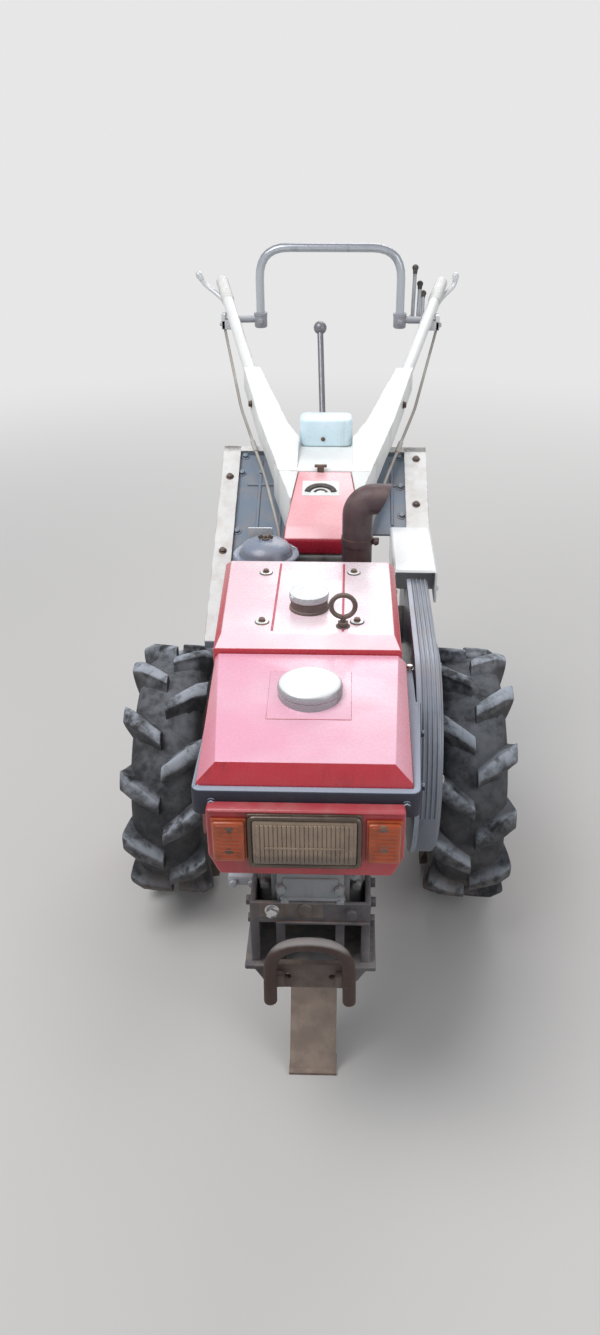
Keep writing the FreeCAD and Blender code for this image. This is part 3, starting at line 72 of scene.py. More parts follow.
class Value:
    """One shader socket that can take part in sums."""

    def __init__(self, shop: "Shop", socket: bpy.types.NodeSocket) -> None:
        """Keep the socket and the shop that makes its nodes."""
        self.shop = shop
        self.socket = socket

    def _sum(self, operation: str, first: Number, second: Number) -> "Value":
        """Add one Math node for two numbers or sockets."""
        return self.shop.node("ShaderNodeMath", {"operation": operation}, {0: first, 1: second})

    def __add__(self, other: Number) -> "Value":
        """Socket plus other."""
        return self._sum("ADD", self, other)

    def __radd__(self, other: Number) -> "Value":
        """Other plus socket."""
        return self._sum("ADD", other, self)

    def __sub__(self, other: Number) -> "Value":
        """Socket less other."""
        return self._sum("SUBTRACT", self, other)

    def __rsub__(self, other: Number) -> "Value":
        """Other less socket."""
        return self._sum("SUBTRACT", other, self)

    def __mul__(self, other: Number) -> "Value":
        """Socket times other."""
        return self._sum("MULTIPLY", self, other)

    def __rmul__(self, other: Number) -> "Value":
        """Other times socket."""
        return self._sum("MULTIPLY", other, self)

    def __pow__(self, other: Number) -> "Value":
        """Socket to a power."""
        return self._sum("POWER", self, other)

    def step(self, low: float, high: float) -> "Value":
        """Rise smoothly from 0 at low to 1 at high, or fall where high is under low."""
        flip = high < low
        ends = {"From Min": min(low, high), "From Max": max(low, high)}
        settings = {"interpolation_type": "SMOOTHSTEP"}
        rise = self.shop.node("ShaderNodeMapRange", settings, {"Value": self, **ends})
        return 1.0 - rise if flip else rise


class Shop:
    """Node tree of one material."""

    def __init__(self, name: str) -> None:
        """Start an empty material of that name."""
        self.material = bpy.data.materials.new(name)
        self.material.use_nodes = True
        self.tree = self.material.node_tree
        self.tree.nodes.clear()
        place = self.node("ShaderNodeTexCoord", {}, {}, "Object")
        self.place = place
        self.normal = self.node("ShaderNodeNewGeometry", {}, {}, "Normal")

    def node(self, kind: str, settings: dict, inputs: dict, output: Union[str, int] = 0) -> Value:
        """Add a node.

        Args:
            kind: Blender's type name.
            settings: attributes that are set before the sockets.
            inputs: numbers, tuples or Values by the socket's name or index.
            output: name or index of the socket that is wanted.

        Returns:
            That output as a Value.
        """
        node = self.tree.nodes.new(kind)
        for name, setting in settings.items():
            setattr(node, name, setting)
        for name, given in inputs.items():
            if isinstance(given, Value):
                self.tree.links.new(given.socket, node.inputs[name])
            else:
                node.inputs[name].default_value = given
        return Value(self, node.outputs[output])

    def moved(self, scale: Sequence[float]) -> Value:
        """Object coordinates stretched along the axes."""
        return self.node("ShaderNodeMapping", {}, {"Vector": self.place, "Scale": tuple(scale)})

    def noise(self, scale: float, detail: float = 3.0, rough: float = 0.55,
              place: Value = None) -> Value:
        """Cloudy noise between about 0.25 and 0.75."""
        links = {"Vector": place or self.place, "Scale": scale, "Detail": detail, "Roughness": rough}
        return self.node("ShaderNodeTexNoise", {}, links)

    def mix(self, share: Number, first: Union[Colour, Value], second: Union[Colour, Value]) -> Value:
        """Blend two colours."""
        ends = {6: self._colour(first), 7: self._colour(second), 0: share}
        return self.node("ShaderNodeMix", {"data_type": "RGBA"}, ends, 2)

    @staticmethod
    def _colour(colour: Union[Colour, Value]) -> Union[tuple, Value]:
        """Give a plain colour its alpha."""
        return colour if isinstance(colour, Value) else (*colour, 1.0)

    def facing(self, axis: Axis) -> Value:
        """How far the surface faces +X, +Y or +Z."""
        parts = self.node("ShaderNodeSeparateXYZ", {}, {0: self.normal}, axis.value)
        return parts

    def along(self, axis: Axis) -> Value:
        """Place along one axis, in metres."""
        return self.node("ShaderNodeSeparateXYZ", {}, {0: self.place}, axis.value)

    def edges(self, radius: float) -> Value:
        """1 at worn outer edges and corners, 0 on flat surfaces."""
        round_normal = self.node("ShaderNodeBevel", {"samples": 4}, {"Radius": radius})
        links = {0: round_normal, 1: self.normal}
        dot = self.node("ShaderNodeVectorMath", {"operation": "DOT_PRODUCT"}, links, "Value")
        return (1.0 - dot).step(0.02, 0.16)

    def bump(self, height: Value, distance: float, strength: float = 1.0) -> Value:
        """Normal from a height."""
        links = {"Height": height, "Distance": distance, "Strength": strength}
        return self.node("ShaderNodeBump", {}, links, "Normal")

    def shade(self, plain: dict, links: dict) -> bpy.types.Material:
        """Finish with a Principled shader and return the material."""
        surface = self.node("ShaderNodeBsdfPrincipled", {}, {**plain, **links})
        self.node_out(surface)
        return self.material

    def node_out(self, surface: Value) -> None:
        """Link a shader to the material's output."""
        out = self.tree.nodes.new("ShaderNodeOutputMaterial")
        self.tree.links.new(surface.socket, out.inputs["Surface"])


@dataclass(frozen=True)
class Worn:
    """A weathered coat: paint, casting or bare steel with fading, chips, rust, dust and grime, and with painted light:
    tops painted lighter or darker than the sides, and pale painted glare.
    """

    name: str
    slot: str
    # The first colour is for surfaces that face sideways or down; the second is painted on up-facing surfaces as
    # painted top light or shade, and also in faded patches.
    base: Colour
    faded_and_top_lighting: Colour
    under: Colour = (0.10, 0.045, 0.025)
    top_lighting_and_fade: float = 0.0
    top_from: float = 0.1
    top_to: float = 0.9
    # Painted glare together with sun bleaching: a near-white colour laid on up-facing surfaces, and how much of it.
    glare_and_bleach: Colour = (0.90, 0.88, 0.89)
    glare_and_bleach_amount: float = 0.0
    patches: float = 0.35
    spots: float = 0.5
    chips: float = 0.35
    edge: float = 0.0022
    dust: Colour = (0.42, 0.33, 0.26)
    dusty: float = 0.25
    grime: float = 0.2
    rough: float = 0.45
    metal: float = 0.0
    coat: float = 0.0
    grain: float = 0.0006
    grain_scale: float = 160.0

    def make(self) -> bpy.types.Material:
        """Build the material."""
        shop = Shop(self.name)
        broad = shop.noise(5.0, 4.0)
        middle = shop.noise(23.0, 5.0, 0.62)
        fine = shop.noise(self.grain_scale, 4.0, 0.6)
        up = shop.facing(Axis.Z)
        # Up-facing surfaces blend to the second colour: painted top light or shade together with sun fading; broad
        # patches add real fading.
        sky_light_share = up.step(self.top_from, self.top_to)
        top_lighting_and_fading = sky_light_share * self.top_lighting_and_fade + broad.step(0.4, 0.7) * self.patches
        colour = shop.mix(top_lighting_and_fading.step(0.0, 1.0), self.base, self.faded_and_top_lighting)
        # Pale patches on up-facing surfaces: painted glare together with sun bleaching.
        if self.glare_and_bleach_amount:
            glare_and_bleaching = sky_light_share * shop.noise(3.4, 3.0).step(0.36, 0.62) * self.glare_and_bleach_amount
            colour = shop.mix(glare_and_bleaching, colour, self.glare_and_bleach)
        streak_place = shop.moved((26.0, 26.0, 2.2))
        streaks = shop.noise(1.0, 4.0, 0.6, streak_place).step(0.52, 0.72)
        grime = streaks * (1.0 - up.step(0.3, 0.8)) * self.grime
        colour = shop.mix(grime, colour, tuple(0.35 * part for part in self.under))
        dust = (up.step(0.2, 0.95) * 0.7 + 0.3) * middle.step(0.42, 0.68) * self.dusty
        colour = shop.mix(dust, colour, self.dust)
        wear = shop.edges(self.edge) * middle.step(0.38, 0.6)
        spots = shop.noise(47.0, 3.0, 0.5).step(0.72, 0.76) * broad.step(0.48, 0.62)
        chipped = (wear + spots * self.spots) * self.chips
        chip_colour = shop.mix(fine, self.under, tuple(min(1.0, 2.6 * part) for part in self.under))
        colour = shop.mix(chipped.step(0.1, 0.5), colour, chip_colour)
        rough = self.rough + (fine - 0.5) * 0.25 + dust * 0.35 + chipped.step(0.1, 0.5) * 0.3
        height = fine * 0.6 + middle * 0.8 - chipped.step(0.1, 0.5) * 0.7
        plain = {"Coat Roughness": 0.25}
        links = {
            "Base Color": colour, "Roughness": rough.step(0.0, 1.0), "Normal": shop.bump(height, self.grain),
            "Metallic": (1.0 - chipped.step(0.1, 0.5)) * (1.0 - dust) * self.metal,
        }
        if self.coat:
            links["Coat Weight"] = (1.0 - chipped.step(0.1, 0.5)) * self.coat
        return shop.shade(plain, links)


@dataclass(frozen=True)
class TyreRubber:
    """Black rubber, dry dust on the lugs and brown soil lower down and in the hollows; the lugs are also painted
    lighter than the hollows as painted light, and up-facing lug tops take a painted bluish sky highlight.
    """

    name: str = "Tyre rubber"
    slot: str = "tyre"
    rubber: Colour = (0.030, 0.031, 0.034)
    dust: Colour = (0.185, 0.187, 0.200)
    sky_highlight: Colour = (0.40, 0.44, 0.50)
    soil: Colour = (0.15, 0.105, 0.080)

    def make(self) -> bpy.types.Material:
        """Build the material."""
        shop = Shop(self.name)
        broad = shop.noise(9.0, 4.0)
        middle = shop.noise(38.0, 5.0, 0.65)
        fine = shop.noise(260.0, 4.0, 0.65)
        edge = shop.edges(0.010)
        low = shop.along(Axis.Z).step(0.26, 0.02)
        shift = {0: shop.place, 1: (0.0, 1.0, 1.0), 2: (0.0, -AXLE.y, -AXLE.z)}
        spoke = shop.node("ShaderNodeVectorMath", {"operation": "MULTIPLY_ADD"}, shift, "Vector")
        radius = shop.node("ShaderNodeVectorMath", {"operation": "LENGTH"}, {0: spoke}, "Value")
        # Out on the lugs: more dust, and painted light that leaves the hollows between them in painted shade.
        lug_lit_and_dusty = radius.step(0.268, 0.288)
        dusty = (middle.step(0.34, 0.66) * 0.8 + edge * 0.5) * (broad.step(0.30, 0.62) * 0.6 + 0.4)
        colour = shop.mix(dusty * (lug_lit_and_dusty * 0.7 + 0.3), self.rubber, self.dust)
        # A painted bluish sky highlight on up-facing lug tops.
        sky_light_share = shop.facing(Axis.Z).step(0.0, 0.95) * (lug_lit_and_dusty * 0.8 + 0.2)
        colour = shop.mix(sky_light_share * (broad + middle).step(0.75, 1.15) * 0.9, colour, self.sky_highlight)
        soiled = (low * 0.7 + 0.06) * (broad + middle).step(0.85, 1.2)
        colour = shop.mix(soiled, colour, self.soil)
        scuffs = shop.noise(1.0, 3.0, 0.6, shop.moved((60.0, 14.0, 14.0))).step(0.60, 0.72)
        colour = shop.mix(scuffs * 0.35, colour, (0.11, 0.11, 0.115))
        rough = 0.62 + dusty * 0.3 + soiled * 0.2
        height = fine * 0.5 + middle * 1.2
        links = {"Base Color": colour, "Roughness": rough, "Normal": shop.bump(height, 0.0016)}
        return shop.shade({"Specular IOR Level": 0.35}, links)


@dataclass(frozen=True)
class Glassy:
    """A pressed lamp lens, clear or coloured, with dirt."""

    name: str
    slot: str
    tint: Colour
    dirt: Colour
    dirty: float = 0.4
    rough: float = 0.18
    dark: Colour = (0.0, 0.0, 0.0)
    dark_from: float = 0.0
    dark_to: float = 0.0

    def make(self) -> bpy.types.Material:
        """Build the material."""
        shop = Shop(self.name)
        cloud = shop.noise(30.0, 5.0, 0.65)
        fine = shop.noise(300.0, 3.0)
        dirt = cloud.step(0.35, 0.75) * self.dirty
        colour = shop.mix(dirt, self.tint, self.dirt)
        if self.dark_from:
            low = (shop.along(Axis.Z) + (cloud - 0.5) * 0.02).step(self.dark_from, self.dark_to)
            colour = shop.mix(low * 0.7, colour, self.dark)
        links = {"Base Color": colour, "Roughness": self.rough + dirt * 0.6,
                 "Normal": shop.bump(fine, 0.0002)}
        return shop.shade({"Coat Weight": 0.6, "Coat Roughness": 0.12}, links)


# Red that turns pink and white on up-facing surfaces: painted top light and painted glare, together with sun fading.
RED = Worn("Bleached red paint with painted glare", "red_paint", (0.47, 0.028, 0.044), (0.78, 0.37, 0.49), top_lighting_and_fade=0.95,
           top_from=0.42, top_to=0.97, glare_and_bleach_amount=0.22, patches=0.10, chips=0.45, spots=0.25, dusty=0.07,
           grime=0.30, rough=0.34, coat=0.35, under=(0.13, 0.05, 0.035))
# The radiator's top turns almost white: painted glare and top light, with sun bleaching.
RADIATOR_RED = replace(RED, name="Bleached radiator red with painted glare", faded_and_top_lighting=(0.87, 0.62, 0.69), top_from=0.75, glare_and_bleach_amount=0.9)
# The cover's forward slope also takes the pale top colour and glare: a painted highlight on the nose.
LINK_RED = replace(RED, name="Salmon red paint", base=(0.40, 0.022, 0.045), faded_and_top_lighting=(0.88, 0.36, 0.40), top_from=0.45,
                   top_to=0.76, glare_and_bleach_amount=0.35)
SEAM_RED = Worn("Red seam", "red_paint", (0.52, 0.07, 0.11), (0.66, 0.22, 0.28), chips=0.0, dusty=0.1, grime=0.3)
LAMP_RED = Worn("Red paint", "red_paint", (0.34, 0.020, 0.030), (0.50, 0.10, 0.12), top_lighting_and_fade=0.4,
                patches=0.3, chips=0.5, spots=0.3, dusty=0.15, grime=0.4, rough=0.4, coat=0.3)
CREAM = Worn("Chipped cream paint", "cream_paint", (0.72, 0.73, 0.72), (0.83, 0.84, 0.83), top_lighting_and_fade=0.7,
             chips=0.6, spots=0.3, dusty=0.08, grime=0.22, rough=0.42, under=(0.12, 0.06, 0.035))
GUARD_CREAM = replace(CREAM, name="Speckled cream paint", base=(0.50, 0.49, 0.46), faded_and_top_lighting=(0.78, 0.77, 0.76),
                      chips=0.8, spots=1.0, dusty=0.3, patches=0.4)
SILVER = Worn("Pale silver paint", "silver_paint", (0.66, 0.68, 0.69), (0.84, 0.86, 0.86), top_lighting_and_fade=0.7,
              chips=0.4, spots=0.2, dusty=0.08, grime=0.25, rough=0.30, metal=0.1, under=(0.09, 0.06, 0.045),
              grain=0.0002)
# Upright legs pale and the top bar darker: painted light on the legs and painted shade on the top bar.
HOOP = Worn("Grey hoop with painted light and shade", "silver_paint", (0.46, 0.49, 0.53), (0.30, 0.31, 0.35), top_lighting_and_fade=0.9, patches=0.3,
            chips=0.3, spots=0.2, dusty=0.08, grime=0.3, rough=0.28, metal=0.35, grain=0.0001, edge=0.001)
BLUE_GREY = Worn("Blue-grey sheet", "blue_grey_sheet", (0.125, 0.145, 0.185), (0.26, 0.29, 0.345), top_lighting_and_fade=0.7,
                 chips=0.45, spots=0.3, dusty=0.22, grime=0.35, rough=0.42, coat=0.15)
BLUE_BEAD = replace(BLUE_GREY, name="Blue-grey bead", chips=0.0)
PALE_LIP = replace(BLUE_BEAD, name="Pale worn lip", base=(0.24, 0.27, 0.33), faded_and_top_lighting=(0.40, 0.44, 0.52))
BAND = replace(BLUE_GREY, name="Dark blue-grey band", base=(0.020, 0.023, 0.038), faded_and_top_lighting=(0.30, 0.34, 0.42),
               top_lighting_and_fade=1.0, top_from=0.6, top_to=0.95, patches=0.03, dusty=0.05, chips=0.3, coat=0.0, rough=0.6)
CLEANER = replace(BLUE_GREY, name="Air cleaner grey", base=(0.11, 0.13, 0.165), faded_and_top_lighting=(0.23, 0.265, 0.345),
                  top_lighting_and_fade=0.8, rough=0.34)
GUARD = replace(BLUE_GREY, name="Guard sheet", base=(0.13, 0.155, 0.19), faded_and_top_lighting=(0.23, 0.28, 0.35), top_lighting_and_fade=0.8,
                dusty=0.3)
# Dark grey sides under a white top: painted shade on the skirts and painted light on the tops.
CAP = Worn("Dull bright cap", "bright_cap", (0.36, 0.36, 0.38), (0.88, 0.90, 0.89), top_lighting_and_fade=1.0,
           top_from=0.45, top_to=0.93, chips=0.1, spots=0.1, dusty=0.06, grime=0.4, rough=0.34, metal=0.15, under=(0.16, 0.12, 0.09), grain=0.0003)
CASTING = Worn("Oily grey casting", "grey_casting", (0.13, 0.135, 0.14), (0.24, 0.24, 0.24), top_lighting_and_fade=0.5,
               chips=0.4, dusty=0.4, grime=0.6, rough=0.55, grain=0.0018, grain_scale=110.0)
PALE_CASTING = replace(CASTING, name="Pale casting", base=(0.20, 0.215, 0.23), faded_and_top_lighting=(0.40, 0.42, 0.44), grime=0.5)
RUST = Worn("Dark rusty steel", "rusty_steel", (0.070, 0.048, 0.040), (0.15, 0.115, 0.10), top_lighting_and_fade=0.5,
            patches=0.7, chips=0.6, dusty=0.35, grime=0.4, rough=0.62, grain=0.0014, under=(0.14, 0.055, 0.03))
SOCKET = replace(CASTING, name="Pale socket paint", base=(0.30, 0.31, 0.34), faded_and_top_lighting=(0.56, 0.57, 0.60), dusty=0.15)
ROD = replace(RUST, name="Pale rod", base=(0.24, 0.22, 0.20), faded_and_top_lighting=(0.46, 0.44, 0.41))
FRAME_GREY = replace(RUST, name="Grey-brown frame steel", base=(0.062, 0.056, 0.064), faded_and_top_lighting=(0.17, 0.165, 0.17))
BEAM_WEAR = replace(RUST, name="Worn beam", base=(0.085, 0.070, 0.064), faded_and_top_lighting=(0.30, 0.275, 0.235), patches=1.0,
                    grime=0.8)
# Pale arch top over dark brown legs: a painted highlight on the top, over real wear.
BUMPER = replace(RUST, name="Worn bumper steel with painted top highlight", base=(0.040, 0.019, 0.014), faded_and_top_lighting=(0.27, 0.25, 0.24), top_lighting_and_fade=1.0,
                 top_from=0.35, dusty=0.08, patches=0.12)
STAND_STEEL = Worn("Grey-brown steel", "stand_steel", (0.155, 0.112, 0.090), (0.26, 0.205, 0.17), top_lighting_and_fade=0.4,
                   patches=0.5, chips=0.5, dusty=0.45, grime=0.5, rough=0.58, grain=0.0012, edge=0.004)
EXHAUST = Worn("Brown-black pipe", "exhaust_steel", (0.048, 0.030, 0.036), (0.095, 0.055, 0.060), top_lighting_and_fade=0.5,
               patches=0.7, chips=0.3, dusty=0.2, grime=0.4, rough=0.5, grain=0.0010, under=(0.15, 0.06, 0.03))
BRIGHT = Worn("Worn chrome", "chrome", (0.52, 0.52, 0.52), (0.62, 0.62, 0.62), top_lighting_and_fade=0.2,
              chips=0.3, dusty=0.2, grime=0.3, rough=0.25, metal=0.85, under=(0.14, 0.09, 0.06), grain=0.0002)
LEVER = replace(BRIGHT, name="Pale worn lever", base=(0.62, 0.63, 0.65), faded_and_top_lighting=(0.80, 0.81, 0.82), metal=0.15,
                rough=0.35, dusty=0.05, chips=0.05, edge=0.0005)
STEEL = replace(BRIGHT, name="Dull steel", base=(0.20, 0.20, 0.22), faded_and_top_lighting=(0.34, 0.34, 0.36), metal=0.4, rough=0.38)
RIM_DARK = replace(BRIGHT, name="Tarnished rim", base=(0.10, 0.075, 0.060), faded_and_top_lighting=(0.20, 0.16, 0.13), metal=0.55)
TOOL_WHITE = Worn("Pale blue-white plastic", "white_plastic", (0.64, 0.82, 0.90), (0.82, 0.93, 0.97), top_lighting_and_fade=0.5,
                  chips=0.1, spots=0.1, dusty=0.08, grime=0.2, rough=0.36, grain=0.0003)
GRIP = Worn("Worn grip", "grip_plastic", (0.60, 0.60, 0.57), (0.78, 0.78, 0.76), top_lighting_and_fade=0.6,
            chips=0.05, edge=0.0005, dusty=0.12, grime=0.4, rough=0.55)
WHEEL_RED = Worn("Worn wheel paint", "wheel_paint", (0.42, 0.06, 0.04), (0.55, 0.22, 0.18), patches=0.5,
                 chips=0.7, dusty=0.55, grime=0.5, rough=0.5)
LABEL = Worn("Label", "white_plastic", (0.82, 0.84, 0.83), (0.90, 0.91, 0.90), chips=0.2, dusty=0.12, grime=0.3,
             rough=0.5)
BLACK = Worn("Black plastic", "grip_plastic", (0.022, 0.022, 0.024), (0.07, 0.07, 0.07), chips=0.1, dusty=0.3,
             grime=0.2, rough=0.5)
TYRE = TyreRubber()
LENS = Glassy("Fluted lamp glass", "lamp_glass", (0.245, 0.175, 0.120), (0.09, 0.062, 0.044), 0.55,
              dark=(0.085, 0.06, 0.045), dark_from=0.672, dark_to=0.660)
ORANGE = Glassy("Orange lens", "orange_lens", (0.36, 0.050, 0.002), (0.09, 0.018, 0.003), 0.5, 0.36)

NODE_FINISH = {
    "transmission_case": CASTING, "engine_rail_left": BAND, "engine_rail_right": BAND,
    "front_frame": FRAME_GREY, "front_hitch": RUST, "front_bumper": BUMPER, "stand_bracket": RUST,
    "stand_leg": STAND_STEEL, "engine_block": CASTING, "cylinder_head": CASTING, "fuel_tank": RED,
    "fuel_cap": CAP, "tank_band": BAND, "lamp_panel": LAMP_RED, "headlamp_rim": RIM_DARK,
    "headlamp_lens": LENS, "indicator_left": ORANGE, "indicator_right": ORANGE, "radiator_cover": RADIATOR_RED,
    "radiator_cap": CAP, "lifting_hook": RUST, "air_cleaner": CLEANER, "exhaust_pipe": EXHAUST,
    "belt_cover": BLUE_GREY, "belt_hood": SILVER, "link_cover": LINK_RED, "handle_frame": CREAM,
    "tool_box": TOOL_WHITE, "gear_lever": STEEL, "handle_tube_left": CREAM, "handle_tube_right": CREAM,
    "handle_grip_left": GRIP, "handle_grip_right": GRIP, "handle_hoop": HOOP, "hoop_sockets": CASTING,
    "steering_lever_left": BRIGHT, "steering_lever_right": BRIGHT, "control_levers": CASTING,
    "control_rods": RUST, "splash_guard": GUARD, "rear_hitch": CASTING,
    "tyre_left": TYRE, "tyre_right": TYRE, "wheel_left": WHEEL_RED, "wheel_right": WHEEL_RED,
}


class Paintshop:
    """Makes each finish once."""

    def __init__(self) -> None:
        """Start with no material."""
        self.made: dict[str, bpy.types.Material] = {}

    def of(self, finish: Union[Worn, TyreRubber, Glassy]) -> bpy.types.Material:
        """The material of a finish."""
        if finish.name not in self.made:
            self.made[finish.name] = finish.make()
        return self.made[finish.name]

    def dress_nodes(self) -> None:
        """Give every node of the frame its material."""
        for name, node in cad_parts.items():
            node.data.materials.clear()
            node.data.materials.append(self.of(NODE_FINISH[name]))


PAINTS = Paintshop()


def at(x: float, y: float, z: float) -> Vector:
    """A place in the frame from millimetres: x, y behind the axle and z over the ground."""
    return Vector((x / 1000, y / 1000 + AXLE.y, z / 1000))


class Form:
    """One piece in the making: parts are shaped one by one and gathered in a bmesh."""

    def __init__(self, name: str) -> None:
        """Start an empty form."""
        self.name = name
        self.bm = bmesh.new()

    @staticmethod
    def _bevel(part: bmesh.types.BMesh, width: float, segments: int, sharp: float = 0.5) -> None:
        """Round the edges of a part that turn more than an angle."""
        if width <= 0:
            return
        edges = [edge for edge in part.edges
                 if len(edge.link_faces) == 2 and edge.calc_face_angle(0.0) > sharp]
        bmesh.ops.bevel(part, geom=edges, offset=width, offset_type="OFFSET", segments=segments,
                        profile=0.5, affect="EDGES", clamp_overlap=True, material=-1)

    def _gather(self, part: bmesh.types.BMesh) -> "Form":
        """Add a finished part."""
        bmesh.ops.recalc_face_normals(part, faces=part.faces[:])
        mesh = bpy.data.meshes.new("part")
        part.to_mesh(mesh)
        part.free()
        self.bm.from_mesh(mesh)
        bpy.data.meshes.remove(mesh)
        return self

    def block(self, low: Sequence[float], high: Sequence[float], bevel: float = 0.002,
              segments: int = 2, turn: Matrix = None) -> "Form":
        """Add a block with rounded edges between two corners, turned about its middle."""
        size = Vector(high) - Vector(low)
        middle = (Vector(high) + Vector(low)) / 2
        spin = turn.to_4x4() if turn else Matrix.Identity(4)
        matrix = Matrix.Translation(middle) @ spin @ Matrix.Diagonal((*size, 1.0))
        part = bmesh.new()
        bmesh.ops.create_cube(part, size=1.0, matrix=matrix)
        self._bevel(part, bevel, segments)
        return self._gather(part)

    def drum(self, axis: Union[Axis, Vector], start: Sequence[float], radius: float, length: float,
             sides: int = 32, bevel: float = 0.001, top: float = None) -> "Form":
        """Add a round drum, or a cone where top is another radius, from a start point along an axis."""
        turn = axis.turn if isinstance(axis, Axis) else Vector(axis).to_track_quat("Z", "Y").to_matrix()
        matrix = Matrix.Translation(Vector(start)) @ turn.to_4x4() @ Matrix.Translation((0, 0, length / 2))
        part = bmesh.new()
        bmesh.ops.create_cone(part, cap_ends=True, segments=sides, radius1=radius,
                              radius2=radius if top is None else top, depth=abs(length), matrix=matrix)
        self._bevel(part, bevel, 2, 0.6)
        return self._gather(part)

    def ball(self, centre: Sequence[float], radius: float, squash: float = 1.0) -> "Form":
        """Add a ball, flattened along Z."""
        matrix = Matrix.Translation(Vector(centre)) @ Matrix.Diagonal((1, 1, squash, 1))
        part = bmesh.new()
        bmesh.ops.create_uvsphere(part, u_segments=24, v_segments=14, radius=radius, matrix=matrix)
        return self._gather(part)

    def bolt(self, axis: Union[Axis, Vector], place: Sequence[float], across: float = 0.013,
             high: float = 0.006, washer: float = 0.0) -> "Form":
        """Add a hexagon head with its washer; a negative height stands out against the axis."""
        place = Vector(place)
        out = (axis.turn @ Vector((0, 0, 1)) if isinstance(axis, Axis) else Vector(axis).normalized())
        if high < 0:
            out = -out
        if washer:
            self.drum(out, place, washer, 0.0018, 24, 0.0004)
            place = place + out * 0.0018
        return self.drum(out, place, across / 1.73, abs(high), 6, 0.0008)

    def screw(self, axis: Vector, place: Sequence[float], radius: float = 0.004) -> "Form":
        """Add a round screw head."""
        place = Vector(place)
        out = Vector(axis).normalized()
        self.drum(out, place, radius, 0.002, 16, 0.0007)
        return self

    def row(self, axis: Union[Axis, Vector], places: Iterable[Sequence[float]], across: float = 0.013,
            high: float = 0.006, washer: float = 0.0) -> "Form":
        """Add the same bolt at several places."""
        for place in places:
            self.bolt(axis, place, across, high, washer)
        return self

    def lathe(self, axis: Axis, centre: Sequence[float], profile: Sequence[tuple[float, float]],
              steps: int = 48) -> "Form":
        """Add a turned shape from (radius, along) pairs, closed where the radius is 0."""
        turn = axis.turn
        centre = Vector(centre)
        out = turn @ Vector((0, 0, 1))
        side = turn @ Vector((1, 0, 0))
        part = bmesh.new()
        verts = [part.verts.new(centre + side * radius + out * along) for radius, along in profile]
        edges = [part.edges.new(pair) for pair in zip(verts, verts[1:])]
        ring = min(profile[0][0], profile[-1][0]) > 0
        if ring and (verts[0].co - verts[-1].co).length > 1e-7:
            edges.append(part.edges.new((verts[-1], verts[0])))
        bmesh.ops.spin(part, geom=verts + edges, cent=centre, axis=out, dvec=(0, 0, 0),
                       angle=2 * math.pi, steps=steps, use_merge=True, use_duplicate=False)
        bmesh.ops.remove_doubles(part, verts=part.verts[:], dist=1e-6)
        return self._gather(part)

    def pipe(self, points: Sequence[Sequence[float]], radius: float, bend: float = 0.03,
             sides: int = 4) -> "Form":
        """Add a round bar along straight runs and bends."""
        path = rounded_path(points, bend)
        curve = bpy.data.curves.new("path", "CURVE")
        curve.dimensions = "3D"
        curve.bevel_depth = radius
        curve.bevel_resolution = sides
        curve.use_fill_caps = True
        spline = curve.splines.new("POLY")
        spline.points.add(len(path) - 1)
        for item, place in zip(spline.points, path):
            item.co = (*place, 1.0)
        holder = bpy.data.objects.new("path", curve)
        mesh = bpy.data.meshes.new_from_object(holder)
        part = bmesh.new()
        part.from_mesh(mesh)
        bmesh.ops.remove_doubles(part, verts=part.verts[:], dist=1e-6)
        bpy.data.objects.remove(holder)
        bpy.data.curves.remove(curve)
        bpy.data.meshes.remove(mesh)
        return self._gather(part)

    def plate(self, axis: Axis, outline: Sequence[tuple[float, float]], low: float, high: float,
              bevel: float = 0.0015, segments: int = 2) -> "Form":
        """Add a flat outline thickened along an axis; its two numbers are the other axes in X, Y, Z order."""
        index = "XYZ".index(axis.value)
        part = bmesh.new()
        corners = []
        for first, second in outline:
            place = [first, second]
            place.insert(index, low)
            corners.append(part.verts.new(place))
        face = part.faces.new(corners)
        shift = [0.0, 0.0, 0.0]
        shift[index] = high - low
        made = bmesh.ops.extrude_face_region(part, geom=[face], use_keep_orig=True)
        moved = [item for item in made["geom"] if isinstance(item, bmesh.types.BMVert)]
        bmesh.ops.translate(part, verts=moved, vec=shift)
        bmesh.ops.recalc_face_normals(part, faces=part.faces[:])
        self._bevel(part, bevel, segments)
        return self._gather(part)

    def from_node(self, name: str, bevel: float = 0.003, segments: int = 2, sharp: float = 0.5) -> "Form":
        """Add a copy of a node's solid, merged, with its edges rounded."""
        part = bmesh.new()
        part.from_mesh(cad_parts[name].data)
        bmesh.ops.remove_doubles(part, verts=part.verts[:], dist=2e-5)
        bmesh.ops.dissolve_limit(part, angle_limit=0.02, verts=part.verts[:], edges=part.edges[:],
                                 use_dissolve_boundaries=False)
        self._bevel(part, bevel, segments, sharp)
        return self._gather(part)

    def done(self, finish: Union[Worn, TyreRubber, Glassy], body: str = CHASSIS,
             replaces: Sequence[str] = (), angle: float = 40.0) -> bpy.types.Object:
        """Make the object, dress it and let it ride.

        Args:
            finish: its material.
            body: the body that carries it.
            replaces: nodes that it stands for.
            angle: edges that turn more, in degrees, stay sharp.

        Returns:
            The object.
        """
        mesh = bpy.data.meshes.new(self.name)
        self.bm.to_mesh(mesh)
        self.bm.free()
        mesh.polygons.foreach_set("use_smooth", [True] * len(mesh.polygons))
        mesh.set_sharp_from_angle(angle=math.radians(angle))
        mesh.materials.append(PAINTS.of(finish))
        made = bpy.data.objects.new(self.name, mesh)
        bpy.context.scene.collection.objects.link(made)
        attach(made, body)
        if replaces:
            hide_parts(*replaces)
        LOG.info("%s: %d faces", self.name, len(mesh.polygons))
        return made


